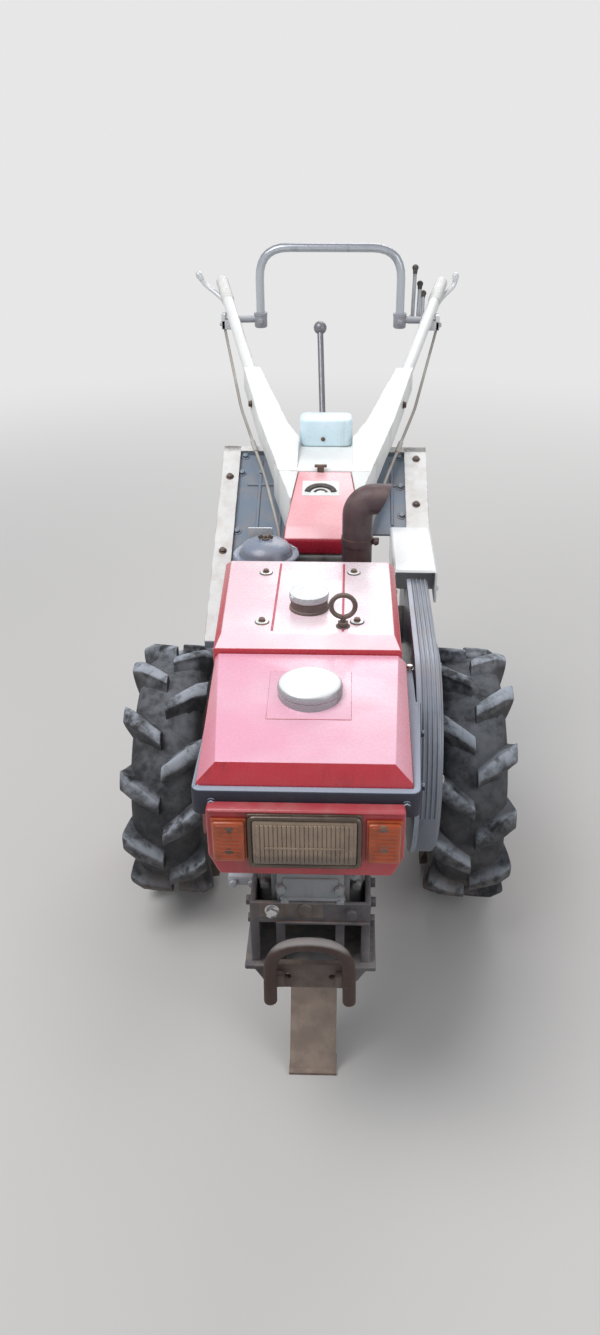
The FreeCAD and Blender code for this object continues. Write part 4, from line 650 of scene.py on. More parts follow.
def rounded_path(points: Sequence[Sequence[float]], bend: float, steps: int = 7) -> list[Vector]:
    """Points along straight runs whose corners are rounded by quadratic curves."""
    corners = [Vector(p) for p in points]
    path = [corners[0]]
    for before, corner, after in zip(corners, corners[1:], corners[2:]):
        reach = min(bend, (before - corner).length * 0.48, (after - corner).length * 0.48)
        first = corner + (before - corner).normalized() * reach
        last = corner + (after - corner).normalized() * reach
        for step in range(steps + 1):
            share = step / steps
            path.append(first.lerp(corner, share).lerp(corner.lerp(last, share), share))
    path.append(corners[-1])
    return path


@dataclass
class Wheel:
    """A lugged tyre on its dished rim."""

    name: str
    side: int
    radius: float = 0.300
    half: float = 0.090
    lug_depth: float = 0.027
    lug_face: float = 0.027
    lug_foot: float = 0.054
    skew: float = 12.0
    lugs: int = 12
    centre: float = 0.341
    start: int = 268

    @property
    def body(self) -> str:
        """Body that the wheel turns with."""
        return "wheel_%s_body" % self.name

    @property
    def middle(self) -> tuple[float, float, float]:
        """Middle of the tyre."""
        return (self.side * self.centre, AXLE.y, AXLE.z)

    def _polar(self, radius: float, degrees: float, across: float) -> Vector:
        """A point at a radius from the axle, its angle from +Y through +Z."""
        angle = math.radians(degrees)
        return Vector((across, AXLE.y + radius * math.cos(angle), AXLE.z + radius * math.sin(angle)))

    def casing(self, form: Form) -> None:
        """Add the casing with its side walls and moulded rings."""
        crown = self.radius - self.lug_depth
        outer = (
            # share of the half width, radius
            (0.0, crown), (0.50, crown - 0.003), (0.68, crown - 0.011), (0.79, crown - 0.024),
            (0.845, crown - 0.045), (0.86, 0.214), (0.855, 0.205), (0.83, 0.201), (0.83, 0.196), (0.835, 0.193),
            (0.80, 0.183), (0.73, 0.175), (0.70, 0.170), (0.66, 0.166), (0.60, 0.165), (0.60, 0.158),
        )
        both = [(-share, radius) for share, radius in reversed(outer[1:])] + list(outer)
        profile = [(radius, share * self.half) for share, radius in both]
        form.lathe(Axis.X, self.middle, profile, 96)

    def lug(self, form: Form, row: int, angle: float, draw: random.Random) -> None:
        """Add one tread bar with flared flanks, swept round the wheel as it runs out over the shoulder."""
        part = bmesh.new()
        bmesh.ops.create_cube(part, size=1.0)
        bmesh.ops.subdivide_edges(part, edges=part.edges[:], cuts=6, use_grid_fill=True)
        crown = self.radius - self.lug_depth
        worn = draw.uniform(0.0, 0.002)
        seed = draw.uniform(0.0, 50.0)
        for vert in part.verts:
            run, side, rise = vert.co.x + 0.5, vert.co.y, vert.co.z + 0.5
            flare = (1.0 - rise) ** 1.7
            thick = self.lug_face + 0.014 * run + (self.lug_foot + 0.016 * run - self.lug_face) * flare
            drop = 0.012 * max(0.0, run - 0.72) / 0.28
            top = self.radius - worn - drop - 0.0035 * abs(2 * side) ** 3
            foot = crown - 0.008 - 0.050 * max(0.0, run - 0.62) / 0.38
            radius = foot + (top - foot) * rise
            wander = noise.noise(Vector((run * 3 + seed, side * 2, rise * 2))) * 0.0020 * rise
            degrees = angle - self.skew * run + math.degrees((side * thick + wander) / crown)
            share = 0.02 + 0.975 * run - 0.20 * flare * max(0.0, run - 0.6) / 0.4
            place = self.middle[0] + row * share * self.half
            vert.co = self._polar(min(radius, self.radius - 0.0003), degrees, place)
        bmesh.ops.recalc_face_normals(part, faces=part.faces[:])
        form._bevel(part, 0.0050, 3, 0.75)
        form._gather(part)

    def tyre(self) -> None:
        """Make the tyre."""
        form = Form("tyre_%s_skin" % self.name)
        self.casing(form)
        draw = random.Random(11 if self.side > 0 else 23)
        pitch = 360 / self.lugs
        for step in range(self.lugs):
            self.lug(form, 1, self.start + step * pitch, draw)
            self.lug(form, -1, self.start + (step + 0.5) * pitch, draw)
        form.done(TYRE, self.body, ["tyre_" + self.name], 50.0)

    def rim(self) -> None:
        """Make the rim, its dished disc, the hub and their bolts."""
        form = Form("rim_%s" % self.name)
        side = self.side
        section = (
            # radius, outward from the tyre's middle
            (0.164, -0.061), (0.164, -0.056), (0.157, -0.054), (0.152, -0.040), (0.146, -0.020), (0.146, 0.020),
            (0.152, 0.040), (0.157, 0.054), (0.164, 0.056), (0.164, 0.061), (0.160, 0.062), (0.152, 0.056),
            (0.147, 0.040), (0.141, 0.022), (0.138, 0.012), (0.120, 0.004), (0.100, -0.004), (0.080, -0.008),
            (0.046, -0.008), (0.046, -0.014), (0.080, -0.014), (0.104, -0.010), (0.124, -0.002), (0.138, 0.004),
            (0.141, -0.020), (0.147, -0.040), (0.152, -0.056), (0.160, -0.062),
        )
        form.lathe(Axis.X, self.middle, [(radius, side * across) for radius, across in section], 72)
        inner, shaft = 0.234 - self.centre, 0.081 - self.centre
        hub = (
            (0.0, inner), (0.046, inner), (0.046, -0.030), (0.074, -0.026), (0.074, -0.0142), (0.046, -0.014),
            (0.046, 0.006), (0.038, 0.014), (0.030, 0.015), (0.030, 0.010), (0.0, 0.010),
        )
        form.lathe(Axis.X, self.middle, [(radius, side * across) for radius, across in hub], 40)
        stub = ((0.0, inner + 0.002), (0.0199, inner + 0.002), (0.0199, shaft), (0.0, shaft))
        form.lathe(Axis.X, self.middle, [(radius, side * across) for radius, across in stub], 28)
        for step in range(6):
            angle = math.radians(step * 60 + 15)
            lift = Vector((side * -0.008, 0.061 * math.cos(angle), 0.061 * math.sin(angle)))
            form.bolt(Vector((side, 0, 0)), Vector(self.middle) + lift, 0.019, 0.011, 0.013)
        form.bolt(Vector((side, 0, 0)), Vector(self.middle) + Vector((side * 0.010, 0, 0)), 0.026, 0.009, 0.018)
        valve = self._polar(0.141, 200, self.middle[0] + side * 0.014)
        form.pipe([valve, valve + Vector((side * 0.010, 0.004, 0.004)), valve + Vector((side * 0.034, 0.014, 0.008))],
                  0.0035, 0.008)
        form.done(WHEEL_RED, self.body, ["wheel_" + self.name])

    def build(self) -> None:
        """Make tyre and rim."""
        self.tyre()
        self.rim()


@dataclass
class Tank:
    """Fuel tank, its cap and the sheet band round its foot."""

    cap: tuple[float, float, float] = (-6.0, -505.0, 833.0)
    cap_radius: float = 0.058
    ribs: int = 30

    def shell(self) -> None:
        """Make the tank with the pressed square round the cap and its pressed seam."""
        form = Form("tank_skin")
        form.from_node("fuel_tank", 0.006, 3, 0.25)
        slope = (838 - 803) / (688 - 392)
        middle = at(self.cap[0], -512, 803 + (688 - 512) * slope)
        size = Vector((0.146, 0.136, 0.0024))
        form.block(middle - size / 2, middle + size / 2, 0.0010, 2, Matrix.Rotation(math.atan(slope), 3, "X"))
        form.done(RED, replaces=["fuel_tank"], angle=32.0)
        seam = Form("tank_seam")
        seam.pipe([at(-176, -697.5, 766), at(160, -697.5, 766)], 0.0022, sides=2)
        seam.done(SEAM_RED)

    def lid(self) -> None:
        """Make the cap: a skirt with finger ribs and a shallow pressed top."""
        form = Form("fuel_cap_skin")
        r = self.cap_radius
        form.lathe(Axis.Z, at(*self.cap), (
            (0.0, 0.0), (r - 0.002, 0.0), (r - 0.0004, 0.0015), (r - 0.0004, 0.006), (r - 0.0016, 0.0105),
            (r - 0.0050, 0.0142), (r - 0.0100, 0.0164), (r - 0.0170, 0.0174), (0.022, 0.0178), (0.0, 0.0180)), 60)
        for step in range(self.ribs):
            angle = 2 * math.pi * step / self.ribs
            place = at(*self.cap) + Vector((math.cos(angle), math.sin(angle), 0)) * (r - 0.0015)
            turn = Matrix.Rotation(angle, 3, "Z")
            form.block(place + Vector((-0.0012, -0.0020, 0.0010)), place + Vector((0.0014, 0.0020, 0.0062)), 0.0008, 1, turn)
        form.done(CAP, replaces=["fuel_cap"])
        neck = Form("fuel_cap_neck")
        neck.lathe(Axis.Z, at(*self.cap), (
            (r - 0.0018, -0.016), (r - 0.0006, -0.016), (r - 0.0006, -0.0004), (r - 0.0018, -0.0004)), 60)
        neck.done(CAP)

    def band(self) -> None:
        """Make the band with a folded upper edge, its bolts and the strap to the belt side."""
        form = Form("band_skin")
        form.from_node("tank_band", 0.004, 2, 0.4)
        form.pipe([at(-184, -395, 762), at(-184, -711, 762), at(176, -711, 762), at(191, -438, 762)], 0.0032, 0.018, 2)
        form.row(Vector((0, -1, 0)), [at(x, -716, 741) for x in (-160, 158)], 0.012, 0.005, 0.009)
        form.row(Vector((-1, 0, 0)), [at(-188, y, 738) for y in (-660, -440)], 0.012, 0.005, 0.009)
        form.row(Vector((1, 0, 0)), [at(183.8, -660, 738), at(192.2, -500, 738)], 0.012, 0.005, 0.009)
        form.done(BAND, replaces=["tank_band"])

    def build(self) -> None:
        """Make shell, lid and band."""
        self.shell()
        self.lid()
        self.band()


@dataclass
class Radiator:
    """Radiator cover with pressed beads, four bolts, its cap and the lifting hook."""

    top: float = 858.0
    cap: tuple[float, float, float] = (-17.0, -239.0, 858.0)
    bolts: tuple = ((-113, -80), (71, -76), (-105, -303), (77, -298))
    beads: tuple = ((-84, -338, -34), (50, -338, -34))

    def cover(self) -> None:
        """Make the cover, its beads and the louvres on its left side."""
        form = Form("radiator_cover_skin")
        form.from_node("radiator_cover", 0.007, 3, 0.25)
        for step in range(7):
            y = -330 + step * 42
            wall = -190 - 16 * (y + 401) / 385
            form.block(at(wall - 2.8, y, 742), at(wall + 2.7, y + 22, 816), 0.002, 2, Matrix.Rotation(0.14, 3, "Z"))
        form.done(RADIATOR_RED, replaces=["radiator_cover"], angle=32.0)
        seam = Form("radiator_beads")
        for x, front, rear in self.beads:
            seam.pipe([at(x, front, self.top - 1), at(x, rear, self.top - 1)], 0.0026, sides=3)
        seam.done(SEAM_RED)
        shadow_rings_and_heads = Form("radiator_shadow_rings_and_heads")
        metal = Form("radiator_washers_bolts_and_glints")
        for x, y in self.bolts:
            # A dark ring round each washer: painted shadow.
            shadow_rings_and_heads.drum(Axis.Z, at(x, y, self.top), 0.0140, 0.0012, 28, 0.0004)
            metal.drum(Axis.Z, at(x, y, self.top + 1.2), 0.0124, 0.0016, 28, 0.0006)
            shadow_rings_and_heads.bolt(Axis.Z, at(x, y, self.top + 2.6), 0.0110, 0.0040, 0.0072)
            # A small bright disc on the bolt head: a painted glint.
            metal.drum(Axis.Z, at(x, y, self.top + 6.4), 0.0030, 0.0012, 16, 0.0005)
        metal.row(Vector((1, 0, 0)), [at(160, -360, 800), at(159, -40, 800)], 0.012, 0.005, 0.009)
        shadow_rings_and_heads.done(RUST)
        metal.done(CAP)

    def lid(self) -> None:
        """Make the cap on its neck, with two ears to turn it by."""
        form = Form("radiator_cap_skin")
        form.lathe(Axis.Z, at(*self.cap), (
            (0.0, 0.022), (0.030, 0.022), (0.0375, 0.0225), (0.0388, 0.025), (0.0388, 0.031), (0.0375, 0.035),
            (0.033, 0.0375), (0.024, 0.0385), (0.020, 0.0375), (0.016, 0.0400), (0.008, 0.0415), (0.0, 0.0417)), 48)
        for turn in (0.6, 0.6 + math.pi):
            place = at(*self.cap) + Vector((math.cos(turn), math.sin(turn), 0)) * 0.034
            form.block(place + Vector((-0.007, -0.006, 0.0245)), place + Vector((0.0045, 0.006, 0.034)), 0.003, 2,
                       Matrix.Rotation(turn, 3, "Z"))
        form.done(CAP, replaces=["radiator_cap"])
        # The neck under the cap is dark rusty brown: painted shade under the cap's rim.
        neck = Form("radiator_neck")
        neck.lathe(Axis.Z, at(*self.cap), (
            (0.0, 0.0), (0.0388, 0.0), (0.0388, 0.004), (0.036, 0.006), (0.036, 0.016), (0.0375, 0.019),
            (0.0375, 0.0218), (0.0, 0.0218)), 40)
        neck.done(RUST)

    def hook(self) -> None:
        """Make the lifting eye: an open ring on a screwed stem with its nut."""
        form = Form("hook_skin")
        centre = at(50, -317, 901)
        ring = [centre + Vector((math.sin(a), 0, -math.cos(a))) * 0.0228
                for a in (math.radians(12 + step * 344 / 28) for step in range(29))]
        form.pipe([at(50, -317, 859)] + [at(50, -317, 874)] + ring, 0.0048, 0.002, 3)
        form.bolt(Axis.Z, at(50, -317, 858), 0.019, 0.008, 0.0135)
        form.done(RUST, replaces=["lifting_hook"])

    def build(self) -> None:
        """Make cover, lid and hook."""
        self.cover()
        self.lid()
        self.hook()


@dataclass
class Lamps:
    """Lamp panel with its headlamp and two indicators."""

    side: float = -7.0
    height: float = 690.0
    wide: float = 186.0
    high: float = 105.0
    rim: float = 8.0
    flutes: int = 22

    def panel(self) -> None:
        """Make the panel with its folded edge."""
        form = Form("lamp_panel_skin")
        form.from_node("lamp_panel", 0.005, 3, 0.3)
        form.block(at(-162, -744.5, 741.5), at(151, -741, 745.8), 0.0018)
        form.done(LAMP_RED, replaces=["lamp_panel"], angle=32.0)

    def headlamp(self) -> None:
        """Make the rim as four mitred bars and the lens with upright flutes."""
        form = Form("headlamp_rim_skin")
        left, right = self.side - self.wide / 2, self.side + self.wide / 2
        low, top = self.height - self.high / 2, self.height + self.high / 2
        ring = [at(x, -751.5, z) for x, z in ((left + 4, low + 4), (right - 4, low + 4), (right - 4, top - 4), (left + 4, top - 4))]
        form.pipe([ring[0].lerp(ring[1], 0.5), *ring[1:], ring[0], ring[0].lerp(ring[1], 0.5)], 0.0042, 0.010, 4)
        form.block(at(left, -748, low), at(right, -742, low + 8), 0.0015)
        form.block(at(left, -748, top - 8), at(right, -742, top), 0.0015)
        form.block(at(left, -748, low + 8), at(left + 8, -742, top - 8), 0.0015)
        form.block(at(right - 8, -748, low + 8), at(right, -742, top - 8), 0.0015)
        form.done(RIM_DARK, replaces=["headlamp_rim"])
        lens = Form("headlamp_lens_skin")
        left, right, low, top = left + 8, right - 8, low + 8, top - 8
        lens.block(at(left, -756, low), at(right, -742.2, top), 0.004, 3)
        pitch = (right - left - 12) / self.flutes
        for step in range(self.flutes):
            x = left + 6 + pitch * (step + 0.5)
            lens.block(at(x - pitch * 0.46, -758.6, low + 6), at(x + pitch * 0.46, -754, top - 6), 0.0016, 3)
        lens.block(at(left + 20, -759.6, self.height - 9), at(right - 20, -757, self.height - 5), 0.0012)
        lens.done(LENS, replaces=["headlamp_lens"])

    def indicator(self, name: str, x: float, places: Sequence[tuple[float, float]]) -> None:
        """Make one indicator: a raised lens with cross ribs and two dark screws."""
        form = Form("indicator_%s_skin" % name)
        low, top = self.height - 42.5, self.height + 42.5
        form.block(at(x - 29, -748, low), at(x + 29, -742.1, top), 0.002)
        form.block(at(x - 26.5, -756, low + 2.5), at(x + 26.5, -746, top - 2.5), 0.005, 3)
        for step in range(9):
            z = low + 10 + step * 8.1
            form.block(at(x - 20, -757, z), at(x + 20, -754.5, z + 3.4), 0.0010, 2)
        form.done(ORANGE, replaces=["indicator_" + name])
        screws = Form("indicator_%s_screws" % name)
        for across, z in places:
            screws.drum(Vector((0, -1, 0)), at(across, -753, z), 0.0072, 0.0036, 20, 0.0006)
            screws.drum(Vector((0, -1, 0)), at(across, -756, z), 0.0040, 0.0015, 16, 0.0006)
        screws.done(RUST)

    def build(self) -> None:
        """Make panel, headlamp and indicators."""
        self.panel()
        self.headlamp()
        self.indicator("left", -130, ((-128, 718), (-130, 672)))
        self.indicator("right", 122, ((120, 722), (122, 680)))


@dataclass
class Breathing:
    """Oil bath air cleaner and the exhaust pipe."""

    cleaner: tuple[float, float] = (-125.0, 76.0)
    intake: float = 671.0
    pipe: tuple[float, float] = (78.0, 60.0)

    def air_cleaner(self) -> None:
        """Make bowl, rim, domed lid, clips, wing nut and intake pipe."""
        form = Form("air_cleaner_skin")
        x, y = self.cleaner
        form.lathe(Axis.Z, at(x, y, 0), (
            (0.0, 0.719), (0.050, 0.719), (0.058, 0.723), (0.0628, 0.731), (0.0628, 0.768), (0.065, 0.771),
            (0.065, 0.775), (0.0628, 0.778), (0.0628, 0.820), (0.069, 0.825), (0.0735, 0.8295), (0.0738, 0.8335),
            (0.0715, 0.8358), (0.0655, 0.8345), (0.0605, 0.8345), (0.0590, 0.8370), (0.0570, 0.8455), (0.0510, 0.8545),
            (0.0405, 0.8618), (0.0270, 0.8660), (0.0130, 0.8677), (0.0, 0.868)), 56)
        form.pipe([at(x, y, 726), at(x, y, self.intake), at(x, -30, self.intake)], 0.0236, 0.034, 6)
        form.drum(Vector((0, 1, 0)), at(x, -30, self.intake), 0.034, 0.007, 32, 0.0015)
        form.row(Vector((0, 1, 0)), [at(x + dx, -23, self.intake) for dx in (-28, 28)], 0.011, 0.005)
        form.done(CLEANER, replaces=["air_cleaner"])
        metal = Form("air_cleaner_fittings")
        for turn in (0.4, 2.5, 4.6):
            out = Vector((math.cos(turn), math.sin(turn), 0))
            start = at(x, y, 0) + out * 0.0650
            metal.pipe([start + Vector((0, 0, 0.800)), start + out * 0.004 + Vector((0, 0, 0.816)),
                        start + out * 0.0095 + Vector((0, 0, 0.834)), start - out * 0.003 + Vector((0, 0, 0.8395))],
                       0.0016, 0.004, 2)
        metal.block(at(x - 46, y + 70, 780), at(x + 10, y + 75, 866), 0.002)
        metal.done(CAP)
        nut = Form("air_cleaner_nut")
        nut.drum(Axis.Z, at(x, y, 866), 0.009, 0.0050, 20, 0.001)
        nut.drum(Axis.Z, at(x, y, 870), 0.0035, 0.008, 16, 0.001)
        for side in (-1, 1):
            nut.block(at(x + side * 5, y - 1.8, 870), at(x + side * 17, y + 1.8, 878), 0.0012, 2,
                      Matrix.Rotation(side * 0.5, 3, "Y"))
        nut.done(RUST)

    def exhaust(self) -> None:
        """Make the pipe with its open slanting mouth, flange and clamp."""
        form = Form("exhaust_skin")
        form.from_node("exhaust_pipe", 0.0, 1)
        x, y = self.pipe
        form.drum(Vector((0, 1, 0)), at(x, -30, 680), 0.046, 0.009, 36, 0.0015)
        form.row(Vector((0, 1, 0)), [at(x + dx, -21, 680) for dx in (-40, 40)], 0.013, 0.007)
        form.lathe(Axis.Z, at(x, y, 0), ((0.0325, 0.868), (0.0352, 0.868), (0.0352, 0.884), (0.0325, 0.884)), 40)
        form.block(at(x + 30, y - 10, 869), at(x + 48, y - 2, 883), 0.0015)
        form.row(Vector((0, -1, 0)), [at(x + 41, y - 10, 876)], 0.011, 0.009)
        form.done(EXHAUST, replaces=["exhaust_pipe"], angle=35.0)

    def build(self) -> None:
        """Make both."""
        self.air_cleaner()
        self.exhaust()


@dataclass
class BeltDrive:
    """Belt cover beside the engine and the silver hood over its rear end."""

    face: float = 238.0
    drum: tuple[float, float] = (-270.0, 560.0)

    def cover(self) -> None:
        """Make the cover with a folded lip, pressed ribs and bolts."""
        form = Form("belt_cover_skin")
        form.from_node("belt_cover", 0.005, 2, 0.45)
        y, z = self.drum
        form.lathe(Axis.X, at(self.face, y, z), ((0.204, -0.001), (0.206, 0.0035), (0.212, 0.0035), (0.214, -0.001)), 72)
        form.lathe(Axis.X, at(self.face, y, z), ((0.118, -0.001), (0.121, 0.0045), (0.128, 0.0045), (0.131, -0.001)), 60)
        form.lathe(Axis.X, at(self.face, y, z), ((0.0, 0.006), (0.036, 0.006), (0.042, 0.003), (0.044, -0.001), (0.0, -0.001)), 40)
        for step in range(12):
            turn = math.radians(30 * step + 8)
            start = at(self.face - 1, y, z) + Vector((0, math.cos(turn), math.sin(turn))) * 0.058
            end = at(self.face - 1, y, z) + Vector((0, math.cos(turn), math.sin(turn))) * 0.106
            form.pipe([start, end], 0.0045, sides=3)
        form.done(BLUE_GREY, replaces=["belt_cover"], angle=32.0)
        beads = Form("belt_cover_beads")
        for x in (204, 213, 222, 231):
            beads.pipe([at(x, y, 780.0), at(x, 62, 780.0)], 0.0024, sides=3)
            arc = [at(x, y, z) + Vector((0, -math.sin(a), math.cos(a))) * 0.220 for a in (math.radians(s * 8) for s in range(13))]
            beads.pipe(arc, 0.0024, 0.002, 3)
        beads.pipe([at(self.face, 30, 700), at(self.face, 250, 668)], 0.004, sides=3)
        beads.done(BLUE_BEAD)
        lip = Form("belt_cover_lip")
        lip.lathe(Axis.X, at(190.5, y, z), ((0.2195, 0.0), (0.2213, 0.0005), (0.2213, 0.0095), (0.2195, 0.010)), 96)
        lip.block(at(190.5, y, 779.5), at(200.5, 62, 781.3), 0.0005, 1)
        lip.done(PALE_LIP)
        metal = Form("belt_cover_bolts")
        metal.bolt(Axis.Z, at(180, -314, 765), 0.012, 0.007, 0.009)
        places = [at(self.face, y, z) + Vector((0, math.cos(a), math.sin(a))) * 0.190 for a in (0.4, 1.6, 2.9, 4.1, 5.3)]
        metal.row(Vector((1, 0, 0)), places, 0.013, 0.006, 0.011)
        metal.done(BRIGHT)

    def hood(self) -> None:
        """Make the hood with its rounded corners and bolts."""
        form = Form("belt_hood_skin")
        form.from_node("belt_hood", 0.007, 3, 0.3)
        form.row(Vector((1, 0, 0)), [at(260, y, 744) for y in (96, 288)], 0.012, 0.005, 0.009)
        form.done(SILVER, replaces=["belt_hood"], angle=32.0)

    def build(self) -> None:
        """Make cover and hood."""
        self.cover()
        self.hood()


@dataclass
class Handles:
    """Link cover, handle frame, tool box, tubes, grips and the hoop."""

    ribs: int = 9

    def link_cover(self) -> None:
        """Make the link cover, the peg and the plain label with an arc."""
        form = Form("link_cover_skin")
        form.from_node("link_cover", 0.007, 3, 0.3)
        form.done(LINK_RED, replaces=["link_cover"], angle=32.0)
        slope = (931 - 862) / (352 - 176)
        turn = Matrix.Rotation(math.atan(slope), 3, "X")

        def on_top(x: float, y: float, lift: float) -> Vector:
            """A place on the slanting top."""
            return at(x, y, 862 + (y - 176) * slope) + turn @ Vector((0, 0, lift))
        label = Form("link_label")
        size = Vector((0.088, 0.052, 0.0012))
        middle = on_top(-8, 293, 0.0004)
        label.block(middle - size / 2, middle + size / 2, 0.0004, 1, turn)
        label.done(LABEL)
        arc = Form("link_label_arc")
        for wide, bar in ((32, 0.0082), (14, 0.0042)):
            points = [on_top(-8 + wide * math.sin(a), 278 + 0.72 * wide * math.cos(a), -0.0016)
                      for a in (math.radians(-84 + step * 168 / 16) for step in range(17))]
            arc.pipe(points, bar, 0.002, 2)
        arc.done(BLACK)
        peg = Form("link_peg")
        peg.block(at(-18, 346, 926), at(-2, 357, 943), 0.002)
        peg.block(at(-25, 348, 940), at(5, 358, 946), 0.002)
        peg.done(RUST)

    def frame(self) -> None:
        """Make the handle frame with its weld beads, closed arm ends and bolts."""
        form = Form("handle_frame_skin")
        form.from_node("handle_frame", 0.006, 3, 0.3)
        for side in (-1, 1):
            start = at(side * 203, 722, 1060)
            ring = [start + Vector((math.cos(a) * 0.0185, 0.001, math.sin(a) * 0.0185))
                    for a in (2 * math.pi * step / 20 for step in range(21))]
            form.pipe(ring, 0.0035, 0.002, 2)
        form.done(CREAM, replaces=["handle_frame"], angle=32.0)
        bolts = Form("handle_frame_bolts")
        for side in (-1, 1):
            bolts.row(Vector((side, 0, 0)), [at(side * 198, 625, 1016)], 0.014, 0.006, 0.010)
        bolts.done(RUST)

    def tool_box(self) -> None:
        """Make the rounded box with its screw."""
        form = Form("tool_box_skin")
        form.from_node("tool_box", 0.008, 3, 0.3)
        form.done(TOOL_WHITE, replaces=["tool_box"], angle=32.0)
        screw = Form("tool_box_screw")
        screw.drum(Vector((0, -1, 0)), at(-7, 468, 973), 0.0055, 0.003, 20, 0.0008)
        screw.done(RUST)

    @staticmethod
    def line(side: int) -> tuple[Vector, Vector, Vector]:
        """Start, end and direction of a handle tube's middle line."""
        start, end = at(side * 203, 722, 1060), at(side * 331, 1215, 1225)
        run = (end - start).normalized()
        tip = 0.0185 * math.sqrt(1 - run.y * run.y)
        return start, end - run * (tip / run.y), run

    def tubes(self) -> None:
        """Make both tubes and their ribbed grips."""
        for name, side in (("left", -1), ("right", 1)):
            start, end, run = self.line(side)
            form = Form("handle_tube_%s_skin" % name)
            form.pipe([start + run * 0.004, end - run * 0.004], 0.0163, sides=7)
            form.done(CREAM, replaces=["handle_tube_" + name])
            grip = Form("handle_grip_%s_skin" % name)
            grip.drum(run, end - run * 0.125, 0.0176, 0.125, 32, 0.004)
            for step in range(self.ribs):
                grip.drum(run, end - run * (0.118 - step * 0.0125), 0.0183, 0.0070, 32, 0.0014)
            grip.done(GRIP, replaces=["handle_grip_" + name])

    def hoop(self) -> None:
        """Make the hoop, its two sockets with pinch bolts, and the stays."""
        form = Form("handle_hoop_skin")
        form.pipe([at(-198, 1000, 1140), at(-198, 1000, 1346), at(198, 1000, 1346), at(198, 1000, 1140)], 0.0119, 0.082, 6)
        form.done(HOOP, replaces=["handle_hoop"])
        sockets = Form("hoop_sockets_skin")
        for side in (-1, 1):
            sockets.lathe(Axis.Z, at(side * 198, 1000, 0), (
                (0.0, 1.132), (0.0155, 1.132), (0.018, 1.135), (0.018, 1.168), (0.0165, 1.172), (0.0123, 1.172),
                (0.0123, 1.142), (0.0, 1.142)), 36)
            start, _, run = self.line(side)
            reach = (at(0, 1000, 0).y - start.y) / run.y
            target = start + run * reach
            source = at(side * 198, 1000, 1155)
            way = (target - source).normalized()
            sockets.pipe([source + way * 0.012, target - way * 0.0165], 0.0098, sides=5)
            sockets.bolt(Vector((0, -1, 0)), at(side * 198, 982.5, 1152), 0.013, 0.010, 0.008)
            sockets.lathe(Axis.Z, at(side * 198, 1000, 0), ((0.0125, 1.1725), (0.0190, 1.1725), (0.0190, 1.1645), (0.0125, 1.1645)), 36)
        sockets.done(SOCKET, replaces=["hoop_sockets"])

    def build(self) -> None:
        """Make everything between the gearbox and the grips."""
        self.link_cover()
        self.frame()
        self.tool_box()
        self.tubes()
        self.hoop()


